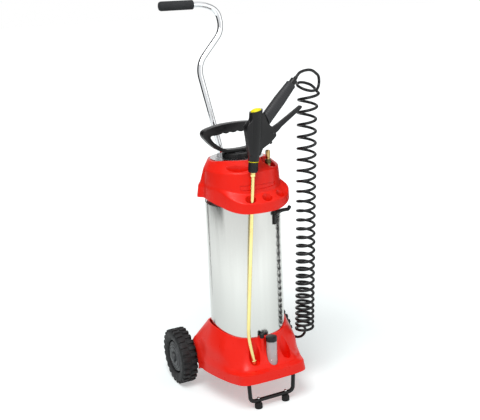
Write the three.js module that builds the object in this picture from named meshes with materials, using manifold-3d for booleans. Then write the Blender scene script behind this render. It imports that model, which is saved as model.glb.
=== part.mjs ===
// Two-wheeled compression sprayer: a stainless steel pressure tank standing in a moulded base,
// with a moulded cover, a hand pump, a bent carrying tube, and a spray gun parked in front.
// Millimetres, +Z up. The front, with the stand, looks along -Y and the axle runs along X.
// Inside the cart group the tank's axis is X = Y = 0; the finished model is centred at the end.

import * as THREE from 'three';
import { mergeVertices } from 'three/addons/utils/BufferGeometryUtils.js';
import Module from 'manifold-3d';

const wasm = await Module();
wasm.setup();

// ---------------------------------------------------------------- driving dimensions

const seat = 0.3; // clearance between two pieces that touch
const running = 0.4; // radial clearance of a piece that slides or turns in another

// Tank, 10 litres of liquid under an air space.
const tankRadius = 100;
const tankWall = 1.5;
const tankHeight = 423;
const dishDepth = 30;
const dishSkirt = 14;
const footRecess = 4; // the lower dish clears the floor of the base by this much

// Wheels and axle.
const wheelRadius = 78;
const wheelWidth = 46;
const wheelMid = 154; // from the middle of the cart to the middle of a wheel
const axleY = 130;
const axleRadius = 6;
const axleEnd = 5; // how far the axle stands out of a hub, under the hub cap
const tyreInnerRadius = 47;
const tyreGroove = 2.5; // radial gap seen between tyre and hub cover
const hubWidth = 38;
const spacerRadius = 10;
const clipThickness = 2;
const clipRadius = 10;
const hubCapRadius = 14;
const hubCapHeight = 8;

// Base moulding.
const wall = 4;
const deckZ = 120; // floor that the tank stands on
const collarWall = 4;
const collarFrontZ = 187;
const collarPeakZ = 205;
const collarRearZ = 190;
const collarFlare = 5; // extra radius of the collar at its high points
const cupStraight = 30; // height of the straight foot of the tank's cup
const cupHeadZ = 260;
const rimFrontZ = 86;
const rimSideZ = 79;
const rimRearZ = 62;
const footReach = 58; // how far the rim stands out in front of the tank
const footCornerX = 97;
const waistX = 122; // the narrowest part of the flanks
const waistY = -62;
const flankReach = 37; // how far the sides stand out beyond the tank
const coneFall = 1.25; // drop of the cone for each millimetre outward
const wheelClearance = 10;
const axleTunnelWall = 6;
const pocketWall = 3;
const socketWall = 5;
const socketTopZ = 236;
const socketBottomZ = 98;

// Pockets in the front of the base: lance rest, nozzle box and one spare.
const pocketRadius = 15;
const restX = -41;
const restFloorZ = 122.5;
const boxX = 7;
const boxFloorZ = 104;
const spareX = 51;
const spareFloorZ = 109;
const sparePocketRadius = 16;

// Stand of bent round bar on two rubber feet.
const standRadius = 5.5;
const standHalfWidth = 64;
const standSplay = 5;
const standBend = 15;
const standY = -126;
const standTopZ = 112;
const legBossRadius = 9.5;
const footX = 41;
const footPadRadius = 10.5;
const footPadHeight = 16.5;
const footScrewRadius = 2;
const footScrewHead = 4;

// Cover over the top of the tank.
const coverWall = 3.5;
const coverWallRadius = 104;
const coverTopRadius = 97;
const coverShoulderZ = 630;
const coverTopZ = 650;
const coverRimFrontZ = 531;
const coverRimSideZ = 556;
const shelfReach = 20;
const shelfFrontZ = 556;
const shelfEndZ = 586;
const shelfInnerZ = 577;
const shelfHoleLength = 26;
const shelfHoleWidth = 15;
const shelfHoleRadius = 111;
const shelfHoleSides = [-14, 9.5, 35]; // degrees from the front
const wingReach = 15;
const wingSide = 122;
const traySide = -31; // degrees from the front
const trayChord = 73.5; // straight rear edge of the tray, measured from the tank's axis
const trayReach = 92.5;
const trayRadius = 38;
const trayFloorZ = 618;
const wellX = 51;
const wellY = -55;
const wellRadius = 19;
const wellFloorZ = 617;

// Filler neck and hand pump, a little behind the tank's axis.
const pumpY = 22;
const neckRadius = 36;
const neckWall = 2.4;
const neckFootZ = 560;
const neckTopZ = 658;
const plateRadius = 71;
const plateThickness = 2;
const plateauMargin = 6;
const plateauLip = 5; // the front of the cover rises this much above the plate
const collarNutRadius = 38.5;
const nutTopZ = 664.5;
const nutSkin = 4;
const barrelRadius = 21;
const barrelWall = 2;
const barrelFootZ = 205;
const barrelFlange = 2;
const rodRadius = 6;
const guideRadius = 15.5;
const guideFlange = 5;
const guideDepth = 20;
const pistonHeight = 16;
const pistonFootZ = 232;
const sealHeight = 5;
const sealDepth = 3.4;
const footValveHeight = 8;

// Pump handle, a closed loop in the X-Z plane.
const handleHalfWidth = 98;
const handleHeight = 78;
const handleThickness = 24;
const handleBar = 8; // thickness of the bowed lower bar
const handleGripBar = 24;
const handleEdge = 3; // rounding of the handle's edges

// Carrying tube with its foam grip.
const tubeRadius = 8;
const tubeWall = 1.5;
const tubeY = 118;
const tubeBend = 34;
const tubeLean = 0.2; // rearward run for each millimetre of rise above the bend
const leanZ = 660;
const gripZ = 1040;
const gripRadius = 12.5;
const gripLength = 97;
const gripStartX = -27;
const clampLength = 24;
const clampZ = 604;
const clampWall = 6;
const clampBoltRadius = 2.5;
const socketBoltZ = 160;

// Lance, gun and trigger. The gun is drawn upright and tilted as a whole.
const lanceRadius = 4.7;
const lanceTop = new THREE.Vector3(-21, -108, 634);
const lanceBend = new THREE.Vector3(-57, -115, 204);
const lanceTip = new THREE.Vector3(-44.5, -116.5, 132);
const ferruleRadius = 6.6;
const ferruleLength = 12;
const nozzleRadius = 6.5;
const nozzleLength = 13;
const gunTilt = 5.7;
const gunNutRadius = 11.5;
const gunNutHeight = 26;
const sealRingHeight = 1.8;
const gunBarrelRadius = 13.5;
const gunHeadRadius = 16.5;
const gunHeight = 125;
const gunCapTilt = 18;
const gunThickness = 24;
const gunCapRadius = 14;
const gunCapRecess = 5;
const gripWidth = 31;
const gripEndWidth = 27;
const leverPivot = new THREE.Vector2(46, 70);
const leverTip = new THREE.Vector2(127.6, 136.3);
const leverThickness = 11;
const leverBoss = 7.5;
const leverPinRadius = 2.5;
const buttonRadius = 4;
const buttonSpot = new THREE.Vector2(43, 48.5);
const buttonDirection = new THREE.Vector2(0.731, -0.682);
const buttonOut = 7;
const buttonIn = 9;
const buttonTravel = 4;
const sleeveRadius = 9;
const sleeveLength = 22;

// Hose: straight from the sleeve, a long coil that hangs plumb, and a tail to the tank.
const hoseRadius = 3.7;
const coilRadius = 27;
const coilTop = new THREE.Vector3(165, -68, 808);
const coilFoot = new THREE.Vector3(140, -68, 166);
const outletSide = 120; // degrees from the front
const outletZ = 264;
const outletReach = 12;
const outletRadius = 7;
const barbLength = 26;
const barbRadius = 4.6;

// Relief valve in the well of the cover.
const reliefRadius = 6;
const reliefFootRise = 5; // foot of the valve above the rim of the tank's top, inside the dish
const reliefRingRadius = 8.2;
const reliefRingZ = 640;
const reliefRingHeight = 10;
const reliefCapRadius = 6.2;
const reliefCapHeight = 24;

// Nozzle box, a clear tube with a screw lid, and the spare nozzle beside it.
const boxRadius = 14;
const boxWall = 1.6;
const boxHeight = 76;
const boxLidRadius = 15;
const boxLidHeight = 12;
const spareNozzleX = -15;
const spareNozzleRadius = 7;
const spareNozzleHeight = 13;
const spareStemRadius = 3;
const spareSocketRadius = 6.5;

// Hook for the coiled hose under the cover.
const hookBar = 8;
const hookGap = 11; // from the rim of the cover down to the arm
const hookFall = 8; // drop of the arm towards its tip
const hookLegWidth = 11;
const hookLegThickness = 5;
const hookLegSide = 27;
const hookLegDrop = 34;

// ---------------------------------------------------------------- materials

const finish = (color, roughness, metalness = 0, extra = {}) =>
  new THREE.MeshStandardMaterial({ color, roughness, metalness, ...extra });

const redPlastic = () => finish(0xf23a24, 0.4);
const blackPlastic = () => finish(0x2c2c2d, 0.45);
const greyPlastic = () => finish(0x555657, 0.5);
const stainless = () => finish(0xb9bab8, 0.28, 1);
const chrome = () => finish(0xd8dadc, 0.08, 1);
const brass = () => finish(0xd9bd6c, 0.25, 1);
const rubber = () => finish(0x343434, 0.8);
const foam = () => finish(0x474849, 0.9);
const yellowPlastic = () => finish(0xf2e422, 0.4);
const clearPlastic = () => finish(0xd6dde2, 0.1, 0, { transparent: true, opacity: 0.4 });
const hoseBlack = () => finish(0x2b2c2e, 0.5);

// ---------------------------------------------------------------- geometry helpers

const degrees = Math.PI / 180;

// A closed mesh with shared corners and no flat slivers.
function tidy(geometry) {
  geometry.deleteAttribute('normal');
  geometry.deleteAttribute('uv');
  const merged = mergeVertices(geometry, 1e-3);
  const index = merged.index.array;
  const kept = [];
  for (let i = 0; i < index.length; i += 3) {
    const [a, b, c] = [index[i], index[i + 1], index[i + 2]];
    if (a !== b && b !== c && c !== a) kept.push(a, b, c);
  }
  merged.setIndex(kept);
  return merged;
}

function solidOf(geometry) {
  const closed = tidy(geometry);
  const vertProperties = new Float32Array(closed.attributes.position.array);
  const triVerts = new Uint32Array(closed.index.array);
  return new wasm.Manifold(new wasm.Mesh({ numProp: 3, vertProperties, triVerts }));
}

function geometryOf(solid) {
  const mesh = solid.getMesh();
  const geometry = new THREE.BufferGeometry();
  geometry.setAttribute('position', new THREE.BufferAttribute(mesh.vertProperties, 3));
  geometry.setIndex(new THREE.BufferAttribute(mesh.triVerts, 1));
  return geometry;
}

// Joins the first geometry with the added ones, then cuts the others out of it.
function carve(geometry, added, removed) {
  let solid = solidOf(geometry);
  for (const piece of added) solid = solid.add(solidOf(piece));
  for (const piece of removed) solid = solid.subtract(solidOf(piece));
  return geometryOf(solid);
}

// Revolves a profile of [radius, height] points about Z.
function turned(profile, segments = 32) {
  const points = profile.map(([radius, height]) => new THREE.Vector2(radius, height));
  if (THREE.ShapeUtils.area(points) < 0) points.reverse();
  const onAxis = points.every((p) => p.x > 0) ? [points[0].clone()] : [];
  return tidy(new THREE.LatheGeometry([...points, ...onAxis], segments).rotateX(Math.PI / 2));
}

function rod(radius, from, to, segments = 24) {
  return turned([[0, from], [radius, from], [radius, to], [0, to]], segments);
}

function sleeve(outer, inner, from, to, segments = 48) {
  return turned([[inner, from], [outer, from], [outer, to], [inner, to]], segments);
}

// A flat outline in the X-Z plane, given its thickness along Y and centred on Y = 0.
function plate(shape, thickness, bevel = 0) {
  const geometry = new THREE.ExtrudeGeometry(shape, {
    depth: thickness - 2 * bevel,
    bevelEnabled: bevel > 0,
    bevelThickness: bevel,
    bevelSize: bevel,
    bevelOffset: -bevel,
    bevelSegments: 1,
    curveSegments: 8,
  });
  return geometry.translate(0, 0, bevel - thickness / 2).rotateX(Math.PI / 2);
}

const outlineOf = (points) => new THREE.Shape(points.map(([x, y]) => new THREE.Vector2(x, y)));

// A route of straight runs whose corners are rounded by arcs of a few steps.
function bentRoute(corners, bend, arcSteps) {
  const route = [corners[0]];
  for (let i = 1; i < corners.length - 1; i += 1) {
    const [before, corner, after] = corners.slice(i - 1, i + 2);
    const back = before.clone().sub(corner);
    const ahead = after.clone().sub(corner);
    const reach = Math.min(bend, back.length() / 2, ahead.length() / 2);
    const start = corner.clone().addScaledVector(back.normalize(), reach);
    const end = corner.clone().addScaledVector(ahead.normalize(), reach);
    const arc = new THREE.QuadraticBezierCurve3(start, corner, end);
    route.push(...arc.getPoints(arcSteps));
  }
  route.push(corners[corners.length - 1]);
  return route;
}

// A curve that is sampled exactly at the points of a route, so that straight runs stay cheap.
class RouteCurve extends THREE.Curve {
  constructor(route) {
    super();
    this.route = route;
  }

  getPoint(t) {
    const place = t * (this.route.length - 1);
    const first = Math.min(Math.floor(place + 1e-9), this.route.length - 2);
    return this.route[first].clone().lerp(this.route[first + 1], place - first);
  }

  getPointAt(t) {
    return this.getPoint(t);
  }

  getTangentAt(t) {
    const half = 0.5 / (this.route.length - 1);
    const ahead = this.getPoint(Math.min(t + half, 1));
    return ahead.sub(this.getPoint(Math.max(t - half, 0))).normalize();
  }
}

function sweep(route, radius, sides, bore = 0) {
  const circle = (r) =>
    Array.from({ length: sides }, (_, i) => {
      const angle = (2 * Math.PI * (i + 0.5)) / sides;
      return new THREE.Vector2(r * Math.cos(angle), r * Math.sin(angle));
    });
  const section = new THREE.Shape(circle(radius));
  if (bore > 0) section.holes.push(new THREE.Path(circle(bore)));
  const path = new RouteCurve(route);
  return new THREE.ExtrudeGeometry(section, {
    steps: route.length - 1,
    extrudePath: path,
    bevelEnabled: false,
  });
}

// A point at an angle from the front, turning towards +X, at a distance from the tank's axis.
const around = (angle, radius, z) =>
  new THREE.Vector3(radius * Math.sin(angle * degrees), -radius * Math.cos(angle * degrees), z);

// A solid through closed rings of points, listed from the bottom up, with fans at both ends.
function ringSolid(rings, footZ, headZ) {
  const count = rings[0].length;
  const points = rings.flat();
  points.push(new THREE.Vector3(0, 0, footZ), new THREE.Vector3(0, 0, headZ));
  const foot = points.length - 2;
  const head = points.length - 1;
  const index = [];
  for (let i = 0; i < count; i += 1) {
    const next = (i + 1) % count;
    index.push(foot, next, i);
    for (let ring = 0; ring < rings.length - 1; ring += 1) {
      const low = ring * count;
      const high = low + count;
      index.push(low + i, low + next, high + next, low + i, high + next, high + i);
    }
    const top = (rings.length - 1) * count;
    index.push(head, top + i, top + next);
  }
  const geometry = new THREE.BufferGeometry().setFromPoints(points);
  geometry.setIndex(index);
  return geometry;
}

// 0 below start, 1 above end, smooth between.
const ease = THREE.MathUtils.smoothstep;
const mix = THREE.MathUtils.lerp;

// Distance from the axis to a mirrored half outline, along an angle from the front.
function reachOf(halfOutline, angle) {
  const direction = around(Math.abs(angle), 1, 0);
  for (let i = 0; i < halfOutline.length - 1; i += 1) {
    const [ax, ay] = halfOutline[i];
    const [bx, by] = halfOutline[i + 1];
    const cross = direction.x * (by - ay) - direction.y * (bx - ax);
    const distance = (ax * (by - ay) - ay * (bx - ax)) / cross;
    const share = (ax * direction.y - ay * direction.x) / cross;
    if (distance > 0 && share >= -1e-6 && share <= 1 + 1e-6) return distance;
  }
  return tankRadius;
}

const angleOf = ([x, y]) => Math.atan2(x, -y) / degrees;

// The angles of a ring: an even fan, plus the mirrored angles where the outline has corners.
function fan(step, corners) {
  const angles = [];
  for (let angle = -180 + step; angle <= 180; angle += step) angles.push(angle);
  for (const corner of corners) {
    for (const angle of [corner, -corner]) {
      const near = angles.findIndex((other) => Math.abs(other - angle) < step / 3);
      if (near >= 0 && !corners.includes(Math.abs(angles[near]))) angles.splice(near, 1);
      if (near < 0 || !angles.includes(angle)) angles.push(angle);
    }
  }
  return angles.sort((a, b) => a - b);
}

// ---------------------------------------------------------------- assembly

const cart = new THREE.Group();
const cords = new THREE.Group();

function put(name, geometry, material, parent = cart) {
  const mesh = new THREE.Mesh(geometry, material);
  mesh.name = name;
  parent.add(mesh);
  return mesh;
}

// Stainless tank: a drawn shell with a dished end welded into each end of it.
const tankFootZ = deckZ + seat;
const tankTopZ = tankFootZ + tankHeight;
const dishRadius = tankRadius - tankWall - seat;

function dish(rimZ, up) {
  const rise = (radius) => dishDepth * Math.sqrt(Math.max(0, 1 - (radius / dishRadius) ** 2));
  const radii = [dishRadius, 0.9 * dishRadius, 0.6 * dishRadius];
  const outside = radii.map((radius) => [radius, rimZ + up * rise(radius)]);
  const inside = radii.map((radius) => [
    radius - (radius === dishRadius ? tankWall : 0),
    rimZ + up * (rise(radius) - tankWall),
  ]);
  return [
    [0, rimZ + up * dishDepth],
    ...outside.reverse(),
    [dishRadius, rimZ - up * dishSkirt],
    [dishRadius - tankWall, rimZ - up * dishSkirt],
    ...inside,
    [0, rimZ + up * (dishDepth - tankWall)],
  ];
}

function buildTank() {
  const shell = sleeve(tankRadius, tankRadius - tankWall, tankFootZ, tankTopZ, 48);
  const neckHole = rod(neckRadius + seat, tankTopZ - dishDepth, tankTopZ + 2 * dishDepth, 28);
  const valveHole = rod(reliefRadius + seat, tankTopZ - dishDepth, tankTopZ + 2 * dishDepth, 20);
  const holes = [neckHole.translate(0, pumpY, 0), valveHole.translate(wellX, wellY, 0)];
  const top = carve(turned(dish(tankTopZ, 1), 32), [], holes);
  const lowerRim = tankFootZ + footRecess + dishDepth;
  put('tank_shell', shell, stainless());
  put('tank_top', top, stainless());
  put('tank_bottom', turned(dish(lowerRim, -1), 20), stainless());
  const neck = sleeve(neckRadius, neckRadius - neckWall, neckFootZ, neckTopZ, 28);
  put('filler_neck', neck.translate(0, pumpY, 0), stainless());
  const plateZ = coverTopZ + seat;
  const ring = sleeve(plateRadius, neckRadius + seat, plateZ, plateZ + plateThickness, 32);
  put('neck_plate', ring.translate(0, pumpY, 0), stainless());
}

// The base stands on the axle and the stand, and carries the tank in a round cup.
const wheelInner = wheelMid - wheelWidth / 2;
const collarRadius = tankRadius + seat + collarWall;
const flankX = tankRadius + flankReach;
const recessX = wheelInner - wheelClearance;
const footFrontY = -(tankRadius + footReach);
const footRearY = axleY + 28;
const footOutline = [
  [0, footFrontY],
  [footCornerX - 36, footFrontY + 2],
  [footCornerX - 8, footFrontY + 7],
  [footCornerX, footFrontY + 14],
  [footCornerX + 13, footFrontY + 61],
  [waistX, waistY],
  [mix(waistX, flankX, 0.6), waistY + 36],
  [flankX - 1, 0],
  [flankX, axleY - 65],
  [flankX - 11, footRearY - 16],
  [recessX - 12, footRearY - 4],
  [0, footRearY],
];

// How far in and how far up each ring of the base lies, from the rim to the collar: a ledge
// under a hollow slope in front, and a steeper slope along the flanks.
const frontProfile = [
  [0, 0],
  [0.1, 0.23],
  [0.36, 0.28],
  [0.58, 0.42],
  [0.8, 0.68],
  [0.94, 0.88],
  [1, 1],
];
const flankProfile = [
  [0, 0],
  [0.02, 0.21],
  [0.17, 0.36],
  [0.27, 0.55],
  [0.45, 0.69],
  [0.75, 0.86],
  [1, 1],
];
// Behind, an upright side under a cone that falls away from the collar.
const coneShares = [1, 1, 1, 0.75, 0.5, 0.25, 0];

const rimZ = (angle) => {
  const side = mix(rimFrontZ, rimSideZ, ease(Math.abs(angle), 30, 50));
  return mix(side, rimRearZ, ease(Math.abs(angle), 99, 112));
};
const collarZ = (angle) => {
  const rise = mix(collarFrontZ, collarPeakZ, ease(Math.abs(angle), 30, 95));
  return mix(rise, collarRearZ, ease(Math.abs(angle), 106, 150));
};

// The collar opens out a little towards its high points, away from the tank.
const collarOpening = (angle) => collarFlare * ease(Math.abs(angle), 70, 116);

function baseRings(angles, inset, drop) {
  return frontProfile.map((front, ring) =>
    angles.map((angle) => {
      const reach = reachOf(footOutline, angle);
      const top = collarRadius + collarOpening(angle);
      const flankShare = ease(Math.abs(angle), 34, 62);
      const inward = mix(front[0], flankProfile[ring][0], flankShare);
      const upward = mix(front[1], flankProfile[ring][1], flankShare);
      const rim = rimZ(angle);
      const collar = collarZ(angle);
      const outward = coneShares[ring] * (reach - top);
      const cone = Math.max(collar - coneFall * outward, rim + 20);
      const coneZ = [rim, mix(rim, cone, 0.5), cone][Math.min(ring, 2)];
      const coneShare = ease(Math.abs(angle), 96, 122);
      const radius = mix(mix(reach, top, inward), top + outward, coneShare);
      const z = mix(mix(rim, collar, upward), coneZ, coneShare);
      return around(angle, radius - inset, z - drop);
    }),
  );
}

// The round cup for the tank: straight at the foot, opening out with the collar.
function cupRings(angles, grow) {
  const foot = tankRadius + seat + grow;
  const flareZ = deckZ + cupStraight;
  const share = (cupHeadZ - flareZ) / (collarPeakZ - flareZ);
  return [
    angles.map((angle) => around(angle, foot, deckZ - grow)),
    angles.map((angle) => around(angle, foot, flareZ)),
    angles.map((angle) => around(angle, foot + share * collarOpening(angle), cupHeadZ)),
  ];
}

const pocketY = (x, radius) => -Math.sqrt((collarRadius + wall / 2 + radius) ** 2 - x ** 2);
const pockets = [
  [restX, pocketY(restX, pocketRadius), pocketRadius, restFloorZ],
  [boxX, pocketY(boxX, pocketRadius), pocketRadius, boxFloorZ],
  [spareX, pocketY(spareX, sparePocketRadius), sparePocketRadius, spareFloorZ],
];
const legTopX = standHalfWidth + standSplay;
const tubeFootZ = socketBottomZ + socketWall;
const screwLength = 30;

function buildBase() {
  const angles = fan(12, footOutline.slice(1, -1).map(angleOf));
  const outer = solidOf(ringSolid(baseRings(angles, 0, 0), rimSideZ, collarRearZ));
  const hollowRings = baseRings(angles, wall, wall);
  const below = angles.map((angle) => around(angle, reachOf(footOutline, angle) - wall, rimRearZ - 40));
  const hollow = solidOf(ringSolid([below, ...hollowRings], rimRearZ - 40, collarRearZ));
  const round = fan(7.5, []);
  const cupOutside = solidOf(ringSolid(cupRings(round, wall), deckZ - wall, cupHeadZ));
  const cup = solidOf(ringSolid(cupRings(round, 0), deckZ, cupHeadZ));

  const wheelWells = (inner, grow) =>
    [-1, 1].map((side) => {
      const well = rod(wheelRadius + wheelClearance + grow, inner, flankX + 20, 40);
      return solidOf(well.rotateY((side * Math.PI) / 2).translate(0, axleY, wheelRadius));
    });

  const inside = [];
  for (const side of [-1, 1]) {
    const leg = rod(legBossRadius, rimFrontZ + 4, standTopZ + wall, 20);
    inside.push(solidOf(leg.translate(side * legTopX, standY, 0)));
  }
  for (const [x, y, radius, floorZ] of pockets) {
    const cupped = rod(radius + pocketWall, floorZ - pocketWall, cupHeadZ, 18);
    inside.push(solidOf(cupped.translate(x, y, 0)));
  }
  const tunnel = rod(axleRadius + running + axleTunnelWall, -recessX - 5, recessX + 5, 20);
  inside.push(solidOf(tunnel.rotateY(Math.PI / 2).translate(0, axleY, wheelRadius)));

  let room = hollow.subtract(cupOutside);
  for (const well of wheelWells(recessX - wall, wall)) room = room.subtract(well);
  let solid = outer.subtract(room);
  for (const boss of inside) solid = solid.add(boss.intersect(outer));
  const socketRadius = tubeRadius + seat + socketWall;
  const socket = rod(socketRadius, socketBottomZ, socketTopZ, 24).translate(0, tubeY, 0);
  const spareSocket = rod(spareSocketRadius, collarFrontZ - 43, collarFrontZ + 1.5, 16);
  spareSocket.translate(spareNozzleX, spareNozzleY, 0);
  solid = solid.add(solidOf(socket)).add(solidOf(spareSocket)).subtract(cup);

  const cuts = [
    rod(tubeRadius + seat, tubeFootZ, socketTopZ + 1, 24).translate(0, tubeY, 0),
    rod(axleRadius + seat, -flankX, flankX, 20).rotateY(Math.PI / 2).translate(0, axleY, wheelRadius),
    rod(clampBoltRadius + seat, -20, 20, 12).rotateY(Math.PI / 2).translate(0, tubeY, socketBoltZ),
    ...pockets.map(([x, y, radius, floorZ]) =>
      rod(radius, floorZ, cupHeadZ, 18).translate(x, y, 0),
    ),
    rod(spareStemRadius + seat, collarFrontZ - 40, collarPeakZ, 12)
      .translate(spareNozzleX, spareNozzleY, 0),
  ];
  for (const side of [-1, 1]) {
    cuts.push(sweep(standLeg(side, seat), standRadius + seat, 12));
  }
  for (const cut of cuts) solid = solid.subtract(solidOf(cut));
  for (const well of wheelWells(recessX, 0)) solid = solid.subtract(well);
  put('base_shell', geometryOf(solid), redPlastic());
}

// Stand: one bar bent to a U, pushed up into the two bosses of the base.
const standZ = footPadHeight + seat + standRadius;

function standLeg(side, extra) {
  const top = new THREE.Vector3(side * legTopX, standY, standTopZ + extra);
  const foot = new THREE.Vector3(side * standHalfWidth, standY, standZ);
  return [foot, top];
}

function buildStand() {
  const [leftFoot, leftTop] = standLeg(-1, -seat);
  const [rightFoot, rightTop] = standLeg(1, -seat);
  const route = bentRoute([leftTop, leftFoot, rightFoot, rightTop], standBend, 5);
  const holes = [-footX, footX].map((x) =>
    rod(footScrewRadius + seat, standZ - 2 * standRadius, standZ + 2 * standRadius, 12)
      .translate(x, standY, 0),
  );
  put('stand_bar', carve(sweep(route, standRadius, 12), [], holes), blackPlastic());
  const barTop = standZ + standRadius + seat;
  const screwFoot = footPadHeight - screwLength / 3;
  for (const [side, x] of [['left', -footX], ['right', footX]]) {
    const pad = turned(
      [
        [0, 0],
        [footPadRadius, 0],
        [footPadRadius, footPadHeight - 5],
        [footPadRadius - 2.5, footPadHeight],
        [footScrewRadius + seat, footPadHeight],
        [footScrewRadius + seat, screwFoot - seat],
        [0, screwFoot - seat],
      ],
      24,
    );
    put(`foot_pad_${side}`, pad.translate(x, standY, 0), rubber());
    const screw = turned(
      [
        [0, screwFoot],
        [footScrewRadius, screwFoot],
        [footScrewRadius, barTop],
        [footScrewHead, barTop],
        [footScrewHead * 0.8, barTop + 2.4],
        [0, barTop + 2.8],
      ],
      14,
    );
    put(`foot_screw_${side}`, screw.translate(x, standY, 0), stainless());
  }
}

// Axle and wheels. A wheel is drawn on Z with its outer face up, then turned onto the axle.
function buildWheels() {
  const axleHalf = wheelMid + hubWidth / 2 + axleEnd;
  const axle = rod(axleRadius, -axleHalf, axleHalf, 20).rotateY(Math.PI / 2);
  put('axle', axle.translate(0, axleY, wheelRadius), stainless());

  const half = wheelWidth / 2;
  const tread = wheelRadius;
  const tyreProfile = [
    [tyreInnerRadius, -half + 6],
    [tyreInnerRadius + 8, -half + 2],
    [tread - 14, -half],
    [tread - 4, -half + 3],
    [tread, -half + 9],
    [tread, half - 9],
    [tread - 4, half - 3],
    [tread - 14, half],
    [tyreInnerRadius + 8, half - 2],
    [tyreInnerRadius, half - 6],
  ];
  const rimRadius = tyreInnerRadius - seat;
  const coverRadius = tyreInnerRadius - tyreGroove;
  const hubHalf = hubWidth / 2;
  const bore = axleRadius + running;
  const hubProfile = [
    [bore, -hubHalf],
    [20, -hubHalf],
    [22, -hubHalf + 8],
    [coverRadius - 6, -hubHalf + 10],
    [coverRadius, -hubHalf + 4],
    [rimRadius, -hubHalf + 4],
    [rimRadius, hubHalf - 12],
    [coverRadius, hubHalf - 12],
    [coverRadius, hubHalf - 4],
    [coverRadius - 10, hubHalf],
    [20, hubHalf + 2],
    [hubCapRadius + 2, hubHalf],
    [bore, hubHalf],
  ];
  const capFoot = hubHalf + seat;
  const capTop = capFoot + hubCapHeight;
  for (const [name, side] of [['left', -1], ['right', 1]]) {
    const wheel = new THREE.Group();
    wheel.rotation.y = side * (Math.PI / 2);
    wheel.position.set(side * wheelMid, axleY, wheelRadius);
    cart.add(wheel);
    put(`tyre_${name}`, turned(tyreProfile, 32), rubber(), wheel);
    put(`hub_${name}`, turned(hubProfile, 24), greyPlastic(), wheel);
    const spacerFoot = recessX + seat - wheelMid;
    const spacer = sleeve(spacerRadius, axleRadius + seat, spacerFoot, -hubHalf - seat, 16);
    put(`axle_spacer_${name}`, spacer, greyPlastic(), wheel);
    const clip = sleeve(clipRadius, axleRadius + seat, capFoot, capFoot + clipThickness, 16);
    put(`axle_clip_${name}`, clip, stainless(), wheel);
    const cap = turned(
      [
        [0, capTop - 1.6],
        [hubCapRadius - 5, capTop - 2.6],
        [hubCapRadius - 2, capTop - 4],
        [hubCapRadius - 2, capFoot],
        [hubCapRadius, capFoot],
        [hubCapRadius, capTop - 3],
        [hubCapRadius - 4, capTop],
        [0, capTop + 1],
      ],
      20,
    );
    put(`hub_cap_${name}`, cap, greyPlastic(), wheel);
  }
}

// Cover: a moulded hood with a shelf for the lance in front and a wing on each rear corner.
const lobe = (angle, middle, half) => 1 - ease(Math.abs(Math.abs(angle) - middle), half - 4, half + 4);
const shelfAt = (angle) => ease(angle, -66, -22) * (1 - ease(angle, 56, 74));
const wingAt = (angle) => lobe(angle, wingSide, 18);

// Each ring: its reach away from the shelf and wings, what these add to it, and its height.
function coverRings(angles, inset, drop) {
  const taper = coverWallRadius - coverTopRadius;
  const rise = (angle) => ease(Math.abs(angle), 15, 95);
  const shelfRise = (angle) => Math.max(ease(angle, 42, 72), ease(-angle, 15, 70));
  const ring = (reach, shelf, wing, height) =>
    angles.map((angle) => {
      const radius = reach + shelf * shelfReach * shelfAt(angle) + wing * wingReach * wingAt(angle);
      return around(angle, radius - inset, height(angle) - drop);
    });
  const plateau = angles.map((angle) => {
    const lip = plateauLip * ease(Math.cos(angle * degrees), 0, 0.8);
    const edge = around(angle, plateRadius + plateauMargin - inset, coverTopZ + lip - drop);
    return edge.add(new THREE.Vector3(0, pumpY, 0));
  });
  return [
    ring(coverWallRadius, 1, 1, (angle) => mix(coverRimFrontZ, coverRimSideZ, rise(angle))),
    ring(coverWallRadius - 0.3 * taper, 1.05, 0.85, (angle) =>
      mix(shelfFrontZ, shelfEndZ, shelfRise(angle))),
    ring(coverWallRadius - 0.5 * taper, 0, 0.6, (angle) =>
      mix(shelfInnerZ, shelfEndZ + 6, shelfRise(angle))),
    ring(coverTopRadius, 0, 0.1, () => coverShoulderZ),
    plateau,
  ];
}

function ovalHole(angle) {
  const hole = rod(shelfHoleLength / 2, shelfFrontZ - 12, coverShoulderZ - 12, 16);
  hole.scale(1, shelfHoleWidth / shelfHoleLength, 1);
  const place = around(angle, shelfHoleRadius, 0);
  return hole.rotateZ(angle * degrees).translate(place.x, place.y, 0);
}

// Half-moon tray in the top, with its straight edge towards the pump.
function tray(grow) {
  const arc = [];
  const middle = trayReach - trayRadius;
  const half = Math.acos((trayChord - middle) / trayRadius);
  for (let i = 0; i <= 12; i += 1) {
    const turn = half * (i / 6 - 1);
    const radius = trayRadius + grow;
    arc.push([radius * Math.sin(turn), -middle - radius * Math.cos(turn)]);
  }
  arc[0][1] += grow;
  arc[12][1] += grow;
  const shape = outlineOf(arc);
  const depth = coverTopZ + 20 - trayFloorZ + grow;
  const geometry = new THREE.ExtrudeGeometry(shape, { depth, bevelEnabled: false });
  return geometry.translate(0, 0, trayFloorZ - grow).rotateZ(traySide * degrees);
}

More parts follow.
